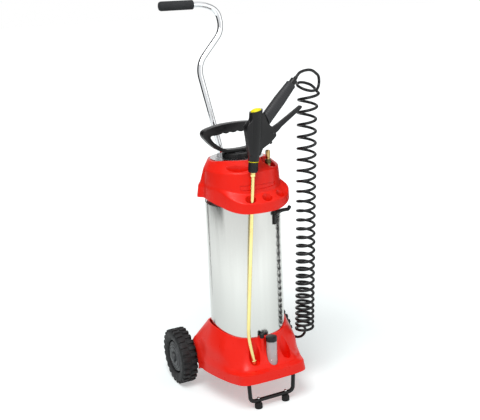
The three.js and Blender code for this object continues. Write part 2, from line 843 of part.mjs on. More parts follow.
function buildCover() {
  const angles = fan(10, [104, 140]);
  const outer = solidOf(ringSolid(coverRings(angles, 0, 0), coverRimSideZ, coverTopZ + plateauLip));
  const hollowRings = coverRings(angles, coverWall, coverWall);
  hollowRings[0].forEach((point) => point.setZ(coverRimFrontZ - 20));
  const hollow = solidOf(ringSolid(hollowRings, coverRimFrontZ - 20, coverTopZ - coverWall));
  let solid = outer.subtract(hollow);
  const cups = [
    tray(coverWall),
    rod(wellRadius + coverWall, wellFloorZ - coverWall, coverTopZ + 20, 24).translate(wellX, wellY, 0),
  ];
  for (const cup of cups) solid = solid.add(solidOf(cup).intersect(outer));
  const cuts = [
    tray(0),
    rod(wellRadius, wellFloorZ, coverTopZ + 20, 24).translate(wellX, wellY, 0),
    rod(plateRadius + 2 * seat, coverTopZ, coverTopZ + 20, 32).translate(0, pumpY, 0),
    rod(reliefRadius + seat, wellFloorZ - 10, wellFloorZ + 10, 20).translate(wellX, wellY, 0),
    rod(neckRadius + seat, coverShoulderZ - 30, coverTopZ + 10, 40).translate(0, pumpY, 0),
    ...shelfHoleSides.map(ovalHole),
  ];
  for (const cut of cuts) solid = solid.subtract(solidOf(cut));
  put('cover_shell', geometryOf(solid), redPlastic());
}

// Hand pump: barrel hung in the neck, held down by the black nut; the rod slides in a turning guide.
const flangeZ = neckTopZ + seat;
const flangeTopZ = flangeZ + barrelFlange;
const nutUnderZ = flangeTopZ + seat;
const plateTopZ = coverTopZ + seat + plateThickness;
const guideTopZ = nutTopZ + 0.5;
const handleFootZ = guideTopZ + seat;

function buildPump() {
  const pump = new THREE.Group();
  pump.position.y = pumpY;
  cart.add(pump);

  const barrelBore = barrelRadius - barrelWall;
  const barrel = turned(
    [
      [barrelBore, barrelFootZ],
      [barrelRadius, barrelFootZ],
      [barrelRadius, flangeZ],
      [neckRadius - neckWall / 2, flangeZ],
      [neckRadius - neckWall / 2, flangeTopZ],
      [barrelBore, flangeTopZ],
    ],
    24,
  );
  put('pump_barrel', barrel, blackPlastic(), pump);

  const valveTop = barrelFootZ + footValveHeight;
  const footValve = turned(
    [
      [4, barrelFootZ - 6],
      [barrelBore - seat, barrelFootZ - 6],
      [barrelBore - seat, valveTop],
      [9, valveTop],
      [4, valveTop - 3],
    ],
    20,
  );
  put('pump_foot_valve', footValve, rubber(), pump);

  const nut = turned(
    [
      [neckRadius + seat, plateTopZ + seat],
      [collarNutRadius, plateTopZ + seat],
      [collarNutRadius, nutTopZ - 1.5],
      [collarNutRadius - 1.5, nutTopZ],
      [guideRadius + running, nutTopZ],
      [guideRadius + running, nutUnderZ],
      [neckRadius + seat, nutUnderZ],
    ],
    28,
  );
  put('pump_nut', nut, blackPlastic(), pump);

  const guideFlangeTop = nutUnderZ - seat;
  const guideFlangeRadius = barrelBore - running;
  const guide = turned(
    [
      [rodRadius + running, guideTopZ - guideDepth],
      [guideFlangeRadius, guideTopZ - guideDepth],
      [guideFlangeRadius, guideFlangeTop],
      [guideRadius, guideFlangeTop],
      [guideRadius, guideTopZ],
      [rodRadius + running, guideTopZ],
    ],
    24,
  );
  put('rod_guide', guide, greyPlastic(), pump);

  const handleBoreTop = handleFootZ + handleBar - 1.8;
  put('pump_rod', rod(rodRadius, pistonFootZ + pistonHeight + seat, handleBoreTop - seat, 20), chrome(), pump);

  const pistonRadius = barrelBore - running;
  const sealFoot = pistonFootZ + (pistonHeight - sealHeight) / 2;
  const sealTop = sealFoot + sealHeight;
  const groove = pistonRadius - sealDepth;
  const piston = turned(
    [
      [0, pistonFootZ],
      [pistonRadius - 1, pistonFootZ],
      [pistonRadius - 1, sealFoot - seat],
      [groove, sealFoot - seat],
      [groove, sealTop + seat],
      [pistonRadius - 1, sealTop + seat],
      [pistonRadius - 1, pistonFootZ + pistonHeight],
      [0, pistonFootZ + pistonHeight],
    ],
    24,
  );
  put('pump_piston', piston, blackPlastic(), pump);
  put('piston_seal', sleeve(pistonRadius, groove + seat, sealFoot, sealTop, 24), rubber(), pump);

  // The outline runs round the right half, and is mirrored for the left half.
  const outside = [
    [32, 0],
    [60, 12],
    [handleHalfWidth - 16, 31],
    [handleHalfWidth - 4, 45],
    [handleHalfWidth, 54],
    [handleHalfWidth - 3, handleHeight - 16],
    [handleHalfWidth - 12, handleHeight - 11],
    [61, handleHeight - 4.5],
    [21, handleHeight - 0.4],
  ];
  const inside = [
    [0, handleBar],
    [32, handleBar + 1.5],
    [57, handleBar + 15],
    [handleHalfWidth - 24, 41],
    [handleHalfWidth - 21, 46],
    [handleHalfWidth - 26, 49],
    [32, handleHeight - handleGripBar - 1],
    [0, handleHeight - handleGripBar + 1],
  ];
  const mirrored = (points) => points.map(([x, z]) => [-x, z]).reverse();
  const loop = outlineOf([...outside, ...mirrored(outside)]);
  const opening = [...inside, ...mirrored(inside.slice(1, -1))];
  loop.holes.push(new THREE.Path(opening.map(([x, z]) => new THREE.Vector2(x, z))));
  const blank = plate(loop, handleThickness, handleEdge).translate(0, 0, handleFootZ);
  const bore = rod(rodRadius + seat, handleFootZ - 5, handleBoreTop, 20);
  put('pump_handle', carve(blank, [], [bore]), blackPlastic(), pump);
}

// How far the rear wall of the cover stands from the tank's axis, above its rim.
function coverRearAt(z) {
  const share = (coverShoulderZ - z) / (coverShoulderZ - shelfEndZ - 6);
  return coverTopRadius + 0.5 * (coverWallRadius - coverTopRadius) * share;
}

// Carrying tube: up behind the tank, leaning back, kinked, and hooked over to a side grip.
const leaning = (x, z) => new THREE.Vector3(x, tubeY + tubeLean * (z - leanZ), z);

function buildCarryingTube() {
  const end = gripStartX - gripLength;
  const corners = [
    new THREE.Vector3(0, tubeY, tubeFootZ + seat),
    new THREE.Vector3(0, tubeY, leanZ - 12),
    leaning(-36, leanZ + 222),
    leaning(49, leanZ + 309),
    leaning(43, gripZ - 18),
    leaning(4, gripZ),
    leaning(end + 4, gripZ),
  ];
  const route = bentRoute(corners, tubeBend, 4);
  const boltHole = (z) =>
    rod(clampBoltRadius + seat, -20, 20, 12).rotateY(Math.PI / 2).translate(0, tubeY, z);
  const tube = carve(
    sweep(route, tubeRadius, 10, tubeRadius - tubeWall), [], [boltHole(socketBoltZ)]);
  put('carrying_tube', tube, chrome());

  const bore = tubeRadius + seat;
  const grip = turned(
    [
      [0, gripLength - 3],
      [bore, gripLength - 3],
      [bore, 0],
      [gripRadius - 1.5, 0],
      [gripRadius, 2],
      [gripRadius, gripLength - 6],
      [gripRadius - 3, gripLength - 1],
      [0, gripLength],
    ],
    18,
  );
  grip.rotateY(-Math.PI / 2).translate(gripStartX, leaning(0, gripZ).y, gripZ);
  put('carrying_grip', grip, foam());

  const clampHalf = tubeRadius + clampWall;
  const clampBack = tubeY + clampHalf;
  const clampFootZ = clampZ - clampLength / 2;
  const clampHeadZ = clampZ + clampLength / 2;
  const side = outlineOf([
    [coverRearAt(clampFootZ) + seat, clampFootZ],
    [clampBack, clampFootZ],
    [clampBack, clampHeadZ],
    [coverRearAt(clampHeadZ) + seat, clampHeadZ],
  ]);
  const block = plate(side, 2 * clampHalf).rotateZ(Math.PI / 2);
  const tubeHole = rod(tubeRadius + seat, clampZ - clampLength, clampZ + clampLength, 16);
  put('tube_clamp', carve(block, [], [tubeHole.translate(0, tubeY, 0)]), blackPlastic());

  const boltHalf = tubeRadius + seat + socketWall + seat;
  const bolt = turned(
    [
      [0, -boltHalf - 3],
      [clampBoltRadius + 2, -boltHalf - 3],
      [clampBoltRadius + 2, -boltHalf],
      [clampBoltRadius, -boltHalf],
      [clampBoltRadius, boltHalf + 4],
      [0, boltHalf + 4],
    ],
    12,
  );
  put('socket_bolt', bolt.rotateY(Math.PI / 2).translate(0, tubeY, socketBoltZ), stainless());
}

// Lance: a brass tube through the shelf, bent at the foot, with its nozzle in the rest pocket.
const towards = (from, to, distance) =>
  from.clone().addScaledVector(to.clone().sub(from).normalize(), distance);

// Turns a piece drawn on Z so that it runs from one point towards another.
function aim(geometry, from, to) {
  const direction = to.clone().sub(from).normalize();
  const turn = new THREE.Quaternion().setFromUnitVectors(new THREE.Vector3(0, 0, 1), direction);
  return geometry.applyQuaternion(turn).translate(from.x, from.y, from.z);
}

function buildLance() {
  const tubeTop = towards(lanceTop, lanceBend, ferruleLength + seat);
  const tubeEnd = towards(lanceTip, lanceBend, nozzleLength / 3);
  const route = bentRoute([tubeTop, lanceBend, tubeEnd], 22, 5);
  put('lance_tube', sweep(route, lanceRadius, 12), brass());
  const ferrule = turned(
    [
      [0, 0],
      [ferruleRadius, 0],
      [ferruleRadius, ferruleLength - 5],
      [lanceRadius + 0.6, ferruleLength],
      [0, ferruleLength],
    ],
    18,
  );
  put('lance_ferrule', aim(ferrule, lanceTop, lanceBend), brass());
  const nozzle = turned(
    [
      [0, seat],
      [lanceRadius - 0.5, seat],
      [nozzleRadius, 2],
      [nozzleRadius, nozzleLength - 3],
      [nozzleRadius - 2.5, nozzleLength],
      [0, nozzleLength],
    ],
    18,
  );
  const start = towards(lanceTip, lanceBend, nozzleLength / 3);
  put('nozzle', aim(nozzle, start, lanceTip), brass());
}

// Gun: drawn upright with the barrel on Z, then tilted to line up with the lance.
const gun = new THREE.Group();
gun.rotation.y = gunTilt * degrees;
const gunUp = new THREE.Vector3(Math.sin(gunTilt * degrees), 0, Math.cos(gunTilt * degrees));
gun.position.copy(lanceTop).addScaledVector(gunUp, seat + gunNutHeight + seat + sealRingHeight + seat);
cart.add(gun);

const gripStart = new THREE.Vector3(33.8, 0, 110.8);
const gripEnd = new THREE.Vector3(95.2, 0, 190.8);
const gripDirection = gripEnd.clone().sub(gripStart).normalize();

function buildGun() {
  const nutTop = -(sealRingHeight + 2 * seat);
  const nut = turned(
    [
      [0, nutTop - gunNutHeight],
      [gunNutRadius - 1.5, nutTop - gunNutHeight],
      [gunNutRadius, nutTop - gunNutHeight + 2],
      [gunNutRadius + 0.8, nutTop],
      [0, nutTop],
    ],
    24,
  );
  put('lance_nut', nut, blackPlastic(), gun);
  const sealZ = nutTop + seat;
  put('lance_seal', rod(gunNutRadius + 1.4, sealZ, sealZ + sealRingHeight, 24), yellowPlastic(), gun);

  const barrel = turned(
    [
      [0, 0],
      [gunBarrelRadius, 0],
      [gunBarrelRadius + 1.5, 24],
      [gunHeadRadius, 60],
      [gunHeadRadius, gunHeight + 6],
      [0, gunHeight + 6],
    ],
    24,
  );
  const flank = plate(
    outlineOf([
      [-14, 14],
      [-20.5, 48],
      [-27, 78],
      [-27.3, 87],
      [-15.5, 101],
      [-12, 114],
      [22, 122],
      [25.5, 125],
      [41, 93],
      [57, 63],
      [40, 45],
      [20.4, 32],
      [14, 14],
    ]),
    gunThickness,
    3,
  );
  const slot = plate(
    outlineOf([
      [leverPivot.x - 10, leverPivot.y - 6],
      [leverPivot.x - 2, leverPivot.y - 12],
      [leverPivot.x + 30, leverPivot.y - 14],
      [leverPivot.x + 30, leverPivot.y + 50],
      [leverPivot.x - 7, leverPivot.y + 14],
      [leverPivot.x - 11, leverPivot.y + 4],
    ]),
    leverThickness + 2 * running,
  );
  const onHead = (geometry) =>
    geometry.rotateY(-gunCapTilt * degrees).translate(0, 0, gunHeight);
  const slant = onHead(rod(3 * gunHeadRadius, 0, 40, 12));
  const recess = onHead(rod(gunCapRadius, -gunCapRecess, 1, 24));
  const pinHole = rod(leverPinRadius + seat, -gunThickness, gunThickness, 12);
  pinHole.rotateX(Math.PI / 2).translate(leverPivot.x, 0, leverPivot.y);
  const spot = new THREE.Vector3(buttonSpot.x, 0, buttonSpot.y);
  const outward = new THREE.Vector3(buttonDirection.x, 0, buttonDirection.y);
  const buttonBore = rod(buttonRadius + running, -(buttonIn + buttonTravel + 1), 20, 12);
  aim(buttonBore, spot, spot.clone().add(outward));
  const cuts = [slant, recess, slot, pinHole, buttonBore];
  put('valve_body', carve(barrel, [flank], cuts), blackPlastic(), gun);

  const cap = turned(
    [
      [0, seat - gunCapRecess],
      [gunCapRadius - seat, seat - gunCapRecess],
      [gunCapRadius - seat, 0.2],
      [gunCapRadius - 2, 1.2],
      [gunCapRadius / 2, 2],
      [0, 2.2],
    ],
    24,
  );
  put('valve_cap', onHead(cap), yellowPlastic(), gun);

  const gripRun = gripEnd.clone().sub(gripStart).length();
  const grip = turned(
    [
      [0, 3],
      [gripWidth / 2 - 2, 3],
      [gripWidth / 2, 12],
      [gripWidth / 2 + 0.4, gripRun * 0.45],
      [gripEndWidth / 2, gripRun - 3],
      [gripEndWidth / 2 - 1.5, gripRun],
      [0, gripRun],
    ],
    24,
  ).scale(1, 0.82, 1);
  const bodyGap = plate(
    outlineOf([
      [-30, 60],
      [-30, 125.6],
      [25.7, 125.6],
      [57.3, 63],
    ]),
    2 * gunThickness,
  );
  const headGap = rod(gunHeadRadius + seat, 60, gunHeight + 20, 24);
  put('gun_grip', carve(aim(grip, gripStart, gripEnd), [], [bodyGap, headGap]), blackPlastic(), gun);

  const strain = turned(
    [
      [0, seat],
      [sleeveRadius, seat],
      [sleeveRadius, sleeveLength * 0.45],
      [sleeveRadius - 2.5, sleeveLength * 0.55],
      [hoseRadius + 1.6, sleeveLength],
      [0, sleeveLength],
    ],
    20,
  );
  const beyond = gripEnd.clone().add(gripDirection);
  put('hose_sleeve', aim(strain, gripEnd, beyond), blackPlastic(), gun);

  const lever = new THREE.Group();
  lever.position.set(leverPivot.x, 0, leverPivot.y);
  lever.rotation.y = -Math.atan2(leverTip.y - leverPivot.y, leverTip.x - leverPivot.x);
  gun.add(lever);
  const leverLength = leverTip.distanceTo(leverPivot);
  const bar = plate(
    outlineOf([
      [-4, -leverBoss + 1],
      [14, -leverBoss],
      [30, -5.2],
      [leverLength - 8, -4.4],
      [leverLength - 1, -3],
      [leverLength, 1],
      [leverLength - 3, 4.6],
      [leverLength - 18, 4.6],
      [30, 4],
      [12, leverBoss - 2],
      [-4, leverBoss - 1],
      [-leverBoss, 0],
    ]),
    leverThickness,
    1.2,
  );
  const eye = rod(leverPinRadius + running, -leverThickness, leverThickness, 16).rotateX(Math.PI / 2);
  put('trigger_lever', carve(bar, [], [eye]), blackPlastic(), lever);

  const pin = rod(leverPinRadius, -gunThickness / 2 - 1, gunThickness / 2 + 1, 14).rotateX(Math.PI / 2);
  put('lever_pin', pin.translate(leverPivot.x, 0, leverPivot.y), stainless(), gun);

  const button = turned(
    [
      [0, -buttonIn],
      [buttonRadius, -buttonIn],
      [buttonRadius, buttonOut - 1],
      [buttonRadius - 1, buttonOut],
      [0, buttonOut],
    ],
    16,
  );
  put('lock_button', aim(button, spot, spot.clone().add(outward)), blackPlastic(), gun);
}

// Hose and the brass elbow that it ends in, low on the tank's right side.
function buildHose() {
  gun.updateMatrixWorld(true);
  const alongGrip = (distance) =>
    gun.localToWorld(gripEnd.clone().addScaledVector(gripDirection, sleeveLength + distance));
  const coilUp = coilTop.clone().sub(coilFoot).normalize();
  const coilOut = new THREE.Vector3(coilUp.z, 0, -coilUp.x);
  const onCoil = (end, distance) =>
    end.clone().addScaledVector(coilOut, coilRadius - hoseRadius - 1).addScaledVector(coilUp, distance);
  const upper = new THREE.CatmullRomCurve3(
    [
      alongGrip(seat),
      alongGrip(9),
      new THREE.Vector3(128.5, -104, 867),
      new THREE.Vector3(143.8, -97, 870.1),
      new THREE.Vector3(162, -88, 870.1),
      new THREE.Vector3(183, -77, 862.8),
      new THREE.Vector3(198.1, -68, 851.3),
      new THREE.Vector3(205.8, -62, 839),
      new THREE.Vector3(205.1, -64, 831),
      new THREE.Vector3(193.3, -72, 823),
      new THREE.Vector3(175.6, -82, 819),
      new THREE.Vector3(154.6, -90, 819.4),
      new THREE.Vector3(140.4, -88, 823.8),
      new THREE.Vector3(137.4, -76, 831.3),
      new THREE.Vector3(146.7, -60, 836.2),
      new THREE.Vector3(166.4, -50, 835.4),
      new THREE.Vector3(185.6, -50, 827),
      onCoil(coilTop, 7),
      onCoil(coilTop, seat + 0.2),
    ],
    false,
    'centripetal',
  );
  put('hose_upper', sweep(upper.getSpacedPoints(52), hoseRadius, 8), hoseBlack(), cords);

  const coil = rod(coilRadius, 0, coilTop.distanceTo(coilFoot), 20);
  put('hose_coil', aim(coil, coilFoot, coilTop), hoseBlack(), cords);

  const elbow = around(outletSide, tankRadius + outletReach, outletZ);
  const barbEnd = elbow.z - barbLength;
  const lower = new THREE.CatmullRomCurve3(
    [
      onCoil(coilFoot, -2 * seat),
      onCoil(coilFoot, -15),
      new THREE.Vector3(162, -60, 142),
      new THREE.Vector3(159, -45, 126),
      new THREE.Vector3(154, -28, 116),
      new THREE.Vector3(149, -10, 112),
      new THREE.Vector3(147, 8, 112),
      new THREE.Vector3(145, 24, 120),
      new THREE.Vector3(142, 37, 140),
      new THREE.Vector3(137, 48, 165),
      new THREE.Vector3(128, 53, 186),
      new THREE.Vector3(114, 56, 205),
      new THREE.Vector3(102, 56.5, 218),
      new THREE.Vector3(elbow.x + 0.6, elbow.y, barbEnd - 9),
      new THREE.Vector3(elbow.x, elbow.y, barbEnd - 2 * seat),
    ],
    false,
    'centripetal',
  );
  put('hose_lower', sweep(lower.getSpacedPoints(36), hoseRadius, 8), hoseBlack(), cords);

  const boss = rod(outletRadius, 0, outletReach + outletRadius, 20);
  aim(boss, around(outletSide, tankRadius - 1, outletZ), elbow);
  const barb = turned(
    [
      [0, -barbLength],
      [barbRadius - 1, -barbLength],
      [barbRadius, -barbLength + 6],
      [barbRadius, -8],
      [outletRadius - 0.6, -6],
      [outletRadius - 0.6, 0],
      [0, 0],
    ],
    18,
  ).translate(elbow.x, elbow.y, elbow.z);
  const seatOnTank = rod(tankRadius + seat, outletZ - 20, outletZ + 20, 48);
  put('hose_outlet', carve(boss, [barb], [seatOnTank]), brass());
}

// Relief valve standing in the well; its cap lifts against a spring to let the air out.
function buildReliefValve() {
  const ringTop = reliefRingZ + reliefRingHeight;
  const stemTop = ringTop + reliefCapHeight / 2;
  const body = turned(
    [
      [0, tankTopZ + reliefFootRise],
      [reliefRadius, tankTopZ + reliefFootRise],
      [reliefRadius, reliefRingZ - 2],
      [reliefRadius - 2, reliefRingZ - 2],
      [reliefRadius - 2, ringTop + seat],
      [2.5, ringTop + seat],
      [2.5, stemTop],
      [0, stemTop],
    ],
    20,
  );
  put('relief_body', body.translate(wellX, wellY, 0), brass());
  const ring = sleeve(reliefRingRadius, reliefRadius - 2 + seat, reliefRingZ, ringTop, 24);
  put('relief_ring', ring.translate(wellX, wellY, 0), brass());
  const capFoot = ringTop + 2 * seat;
  const cap = turned(
    [
      [0, stemTop + seat],
      [2.5 + running, stemTop + seat],
      [2.5 + running, capFoot],
      [reliefCapRadius - 1, capFoot],
      [reliefCapRadius - 1, capFoot + 4],
      [reliefCapRadius, capFoot + 6],
      [reliefCapRadius, capFoot + reliefCapHeight - 4],
      [reliefCapRadius - 1.5, capFoot + reliefCapHeight],
      [0, capFoot + reliefCapHeight],
    ],
    20,
  );
  put('relief_cap', cap.translate(wellX, wellY, 0), brass());
}

// Clear nozzle box with its lid, and a spare nozzle on a stem beside it.
const spareNozzleY = -(collarRadius + spareNozzleRadius * 0.8);

function buildNozzleBox() {
  const box = new THREE.Group();
  box.position.set(boxX, pocketY(boxX, pocketRadius), 0);
  cart.add(box);
  const foot = boxFloorZ + seat;
  const top = foot + boxHeight;
  const tube = turned(
    [
      [0, foot],
      [boxRadius - 6, foot],
      [boxRadius - 1.5, foot + 4],
      [boxRadius, foot + 10],
      [boxRadius, top],
      [boxRadius - boxWall, top],
      [boxRadius - boxWall, foot + 10],
      [boxRadius - 4, foot + 5],
      [0, foot + boxWall],
    ],
    20,
  );
  put('nozzle_box', tube, clearPlastic(), box);
  const lid = turned(
    [
      [0, top + seat],
      [boxRadius - 3, top + seat],
      [boxLidRadius, top + seat],
      [boxLidRadius, top + boxLidHeight - 2],
      [boxLidRadius - 2, top + boxLidHeight],
      [0, top + boxLidHeight],
    ],
    20,
  );
  const plug = rod(boxRadius - boxWall - running, top - 6, top + 1, 20);
  put('nozzle_box_lid', carve(lid, [plug], []), blackPlastic(), box);

  const headFoot = collarFrontZ + 2;
  const spare = turned(
    [
      [0, collarFrontZ - 38],
      [spareStemRadius, collarFrontZ - 38],
      [spareStemRadius, headFoot],
      [spareNozzleRadius, headFoot],
      [spareNozzleRadius, headFoot + spareNozzleHeight - 3],
      [spareNozzleRadius - 2.5, headFoot + spareNozzleHeight],
      [0, headFoot + spareNozzleHeight],
    ],
    20,
  );
  put('spare_nozzle', spare.translate(spareNozzleX, spareNozzleY, 0), blackPlastic());
}

// Hook: a leg against the tank and an arm that reaches out under the shelf.
function buildHook() {
  const armZ = coverRimFrontZ - hookBar / 2 - hookGap;
  const arm = [
    around(hookLegSide - 3, tankRadius + hookBar / 2 + 3, armZ),
    around(hookLegSide + 16, tankRadius + hookBar / 2 + 5, armZ),
    around(58, tankRadius + 22, armZ - hookFall),
    around(61, tankRadius + 26, armZ - hookFall + 6),
  ];
  const bar = sweep(bentRoute(arm, 6, 2), hookBar / 2, 8);
  const leg = new THREE.BoxGeometry(hookLegWidth, hookLegThickness, hookLegDrop);
  leg.translate(0, -(tankRadius + hookLegThickness / 2), armZ - hookLegDrop / 2 + 3);
  leg.rotateZ(hookLegSide * degrees);
  const tankSide = rod(tankRadius + seat, armZ - hookLegDrop * 2, armZ + 20, 48);
  put('hose_hook', carve(leg, [bar], [tankSide]), blackPlastic());
}

buildTank();
buildBase();
buildStand();
buildWheels();
buildCover();
buildPump();
buildCarryingTube();
buildLance();
buildGun();
buildHose();
buildReliefValve();
buildNozzleBox();
buildHook();

// The origin is under the middle of the cart, on the floor. The free hose doesn't count in this.
cart.updateMatrixWorld(true);
const extent = new THREE.Box3().setFromObject(cart, true);
const sprayer = new THREE.Group();
sprayer.add(cart, cords);
sprayer.position.set(-(extent.min.x + extent.max.x) / 2, -(extent.min.y + extent.max.y) / 2, 0);

export default sprayer;
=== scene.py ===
import math
import bpy
from mathutils import Matrix, Vector


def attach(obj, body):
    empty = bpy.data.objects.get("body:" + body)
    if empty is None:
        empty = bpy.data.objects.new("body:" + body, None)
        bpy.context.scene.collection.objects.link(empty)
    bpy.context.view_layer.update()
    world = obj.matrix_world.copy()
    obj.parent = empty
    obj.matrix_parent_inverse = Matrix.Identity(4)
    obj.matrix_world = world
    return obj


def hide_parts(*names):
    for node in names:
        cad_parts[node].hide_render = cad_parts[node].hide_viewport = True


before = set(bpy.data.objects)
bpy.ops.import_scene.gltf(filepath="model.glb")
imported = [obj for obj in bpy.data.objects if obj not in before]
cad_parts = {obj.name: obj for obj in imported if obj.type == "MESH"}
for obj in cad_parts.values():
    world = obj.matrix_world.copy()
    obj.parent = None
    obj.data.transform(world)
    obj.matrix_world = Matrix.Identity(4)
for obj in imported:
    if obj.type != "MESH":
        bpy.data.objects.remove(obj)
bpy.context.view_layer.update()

# ---------------------------------------------------------------- camera
# Waist-high view from the front left, a little above the cart, rolled by 2.6 degrees.
# Places on the cart are in millimetres from the foot of the tank's axis, and spot() gives them
# in metres in the shared frame.
tank_y = -25


def spot(x, y, z):
    return Vector((x, y + tank_y, z)) / 1000


turn, rise, tilt = math.radians(-26), math.radians(15.2), math.radians(2.6)
back = Vector((math.sin(turn) * math.cos(rise), -math.cos(turn) * math.cos(rise), math.sin(rise)))
right = Vector((math.cos(turn), math.sin(turn), 0))
up = Vector((-math.sin(turn) * math.sin(rise), math.cos(turn) * math.sin(rise), math.cos(rise)))
bpy.ops.object.select_all(action="DESELECT")
bpy.ops.object.camera_add()
camera = bpy.context.object
camera.name = "camera"
across = math.cos(tilt) * right - math.sin(tilt) * up
upward = math.cos(tilt) * up + math.sin(tilt) * right
looked_at, distance = spot(-8.6, 0, 511.5), 2.150
facing = Matrix((across, upward, back)).transposed().to_4x4()
camera.matrix_world = Matrix.Translation(looked_at + distance * back) @ facing
camera.data.lens = 60.98
camera.data.sensor_width = 36
bpy.context.scene.camera = camera

# ---------------------------------------------------------------- hose
# Spiral hose of black polyamide, 7.4 mm thick. It leaves the gun's grip, springs through one wide
# loop, hangs as a long coil that is drawn out at the top, and runs behind the base to the tank.


def paint(*shares):
    # a colour as it shows on a screen, 0 to 255, made linear
    linear = [((c / 255 + 0.055) / 1.055) ** 2.4 if c > 10 else c / 3295 for c in shares]
    return (*linear, 1)


def moulded_grain():
    # large clouds for the tone, small ones for wear, and a fine bump
    group = bpy.data.node_groups.new("moulded_grain", "ShaderNodeTree")
    face = group.interface
    for name, value in (("grain", 900.0), ("relief", 0.05)):
        socket = face.new_socket(name, in_out="INPUT", socket_type="NodeSocketFloat")
        socket.default_value = value
    for name, kind in (("cloud", "Float"), ("wear", "Float"), ("normal", "Vector")):
        face.new_socket(name, in_out="OUTPUT", socket_type="NodeSocket" + kind)
    add, link = group.nodes.new, group.links.new
    entry, leave, place = add("NodeGroupInput"), add("NodeGroupOutput"), add("ShaderNodeTexCoord")
    cloud, wear, fine, bump = (add(kind) for kind in (
        "ShaderNodeTexNoise", "ShaderNodeTexNoise", "ShaderNodeTexNoise", "ShaderNodeBump"))
    cloud.inputs["Scale"].default_value, cloud.inputs["Detail"].default_value = 14, 3
    wear.inputs["Scale"].default_value, wear.inputs["Detail"].default_value = 90, 6
    fine.inputs["Detail"].default_value = 2
    for noise in (cloud, wear, fine):
        link(place.outputs["Object"], noise.inputs["Vector"])
    link(entry.outputs["grain"], fine.inputs["Scale"])
    link(entry.outputs["relief"], bump.inputs["Strength"])
    bump.inputs["Distance"].default_value = 0.0004
    link(fine.outputs["Fac"], bump.inputs["Height"])
    link(cloud.outputs["Fac"], leave.inputs["cloud"])
    link(wear.outputs["Fac"], leave.inputs["wear"])
    link(bump.outputs["Normal"], leave.inputs["normal"])
    return group


grain_group = moulded_grain()


def finish(name, light, dark, gloss, metal=0.0, grain=900.0, relief=0.05, spread=0.08,
           sockets=None, group=None):
    # a surface that drifts between two tones, with its roughness worn a little up and down
    made = bpy.data.materials.new(name)
    made.use_nodes = True
    add, link = made.node_tree.nodes.new, made.node_tree.links.new
    shader = made.node_tree.nodes["Principled BSDF"]
    skin = add("ShaderNodeGroup")
    skin.node_tree = group or grain_group
    skin.inputs["grain"].default_value = grain
    skin.inputs["relief"].default_value = relief
    tone, rub = add("ShaderNodeMix"), add("ShaderNodeMapRange")
    tone.data_type = "RGBA"
    tone.inputs[6].default_value, tone.inputs[7].default_value = paint(*dark), paint(*light)
    link(skin.outputs["cloud"], tone.inputs[0])
    link(tone.outputs[2], shader.inputs["Base Color"])
    rub.inputs["From Min"].default_value, rub.inputs["From Max"].default_value = 0.3, 0.7
    rub.inputs["To Min"].default_value = gloss - spread
    rub.inputs["To Max"].default_value = gloss + spread
    link(skin.outputs["wear"], rub.inputs["Value"])
    link(rub.outputs["Result"], shader.inputs["Roughness"])
    link(skin.outputs["normal"], shader.inputs["Normal"])
    shader.inputs["Metallic"].default_value = metal
    shader.inputs["Specular IOR Level"].default_value = 0.5 if metal else 0.25
    for socket, value in (sockets or {}).items():
        shader.inputs[socket].default_value = value
    return made


def fitted(piece, name, body, slot, made_of, *nodes):
    # a finished piece: its name, body and finish, and the CAD nodes that it stands for; the slot is not used
    piece.name = name
    piece.data.name = name
    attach(piece, body)
    if nodes:
        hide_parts(*nodes)
    piece.data.materials.clear()
    piece.data.materials.append(made_of)
    return piece


hose_plastic = finish("hose_polyamide", (28, 28, 30), (18, 18, 19), 0.3, grain=300, relief=0.03)

hose_route = [(110.8, -108, 859.2), (114.2, -108, 862.9), (120.5, -106.5, 867.8), (130.5, -103.5, 870.6),
              (143.8, -97, 871.6), (162, -88, 870.4), (176, -80.5, 866.2), (188, -74, 859.4),
              (200, -66.8, 850.5), (202.8, -64.9, 842.9), (203.1, -64.8, 834.6), (200.6, -66.7, 826.9),
              (195.9, -70.2, 821), (189.8, -74.7, 817.7), (179, -82, 816.6), (167, -88.6, 817.2),
              (155, -92.4, 819.6), (143.5, -89.8, 823.4), (136.6, -79.5, 828.6), (137.5, -65.5, 833),
              (147, -53.3, 836), (162, -45.8, 835.8), (177, -45, 832.4), (189, -51, 826)]
coil_head, coil_foot = Vector((165, -68, 812)), Vector((140, -68, 166))
coil_axis = (coil_head - coil_foot).normalized()
coil_side = Vector((coil_axis.z, 0, -coil_axis.x))
steps_a_turn = 14
coil_wide, top_wider, top_shift = 23, 2.6, 4.5
least_pitch, top_pitch = 13.2, 20.5
fall, step = 0.0, 0
drop = (coil_head - coil_foot).length
while fall < drop or step % steps_a_turn != 3 * steps_a_turn // 4:
    angle = 2 * math.pi * step / steps_a_turn
    wide = coil_wide + top_wider * max(0, 1 - step / 26)
    middle = coil_head - coil_axis * fall + Vector((top_shift * max(0, 1 - step / 22), 0, 0))
    swing = math.cos(angle) * coil_side - math.sin(angle) * Vector((0, 1, 0))
    hose_route.append(tuple(middle + wide * swing))
    fall += (least_pitch + top_pitch * max(0, 1 - fall / drop) ** 0.75) / steps_a_turn
    step += 1
hose_route += [(149, -45, 160), (156.5, -43, 150), (158.5, -37, 137), (156, -29, 125), (152, -17, 116.5),
               (148, -2, 112.5), (146, 12, 114.5), (144, 26, 123), (141.5, 37, 141), (136.5, 47, 165),
               (127.5, 53, 187), (114, 56, 205), (102.5, 56.4, 218), (97.8, 56, 228), (97, 56, 238)]
curve = bpy.data.curves.new("hose", "CURVE")
curve.dimensions = "3D"
line = curve.splines.new("BEZIER")
line.bezier_points.add(len(hose_route) - 1)
for knot, at in zip(line.bezier_points, hose_route):
    knot.co = spot(*at)
    knot.radius = 0.0037
    knot.handle_left_type = knot.handle_right_type = "AUTO"
line.resolution_u = 4
curve.bevel_depth = 1
curve.bevel_resolution = 5
curve.use_fill_caps = True
hose = bpy.data.objects.new("hose", curve)
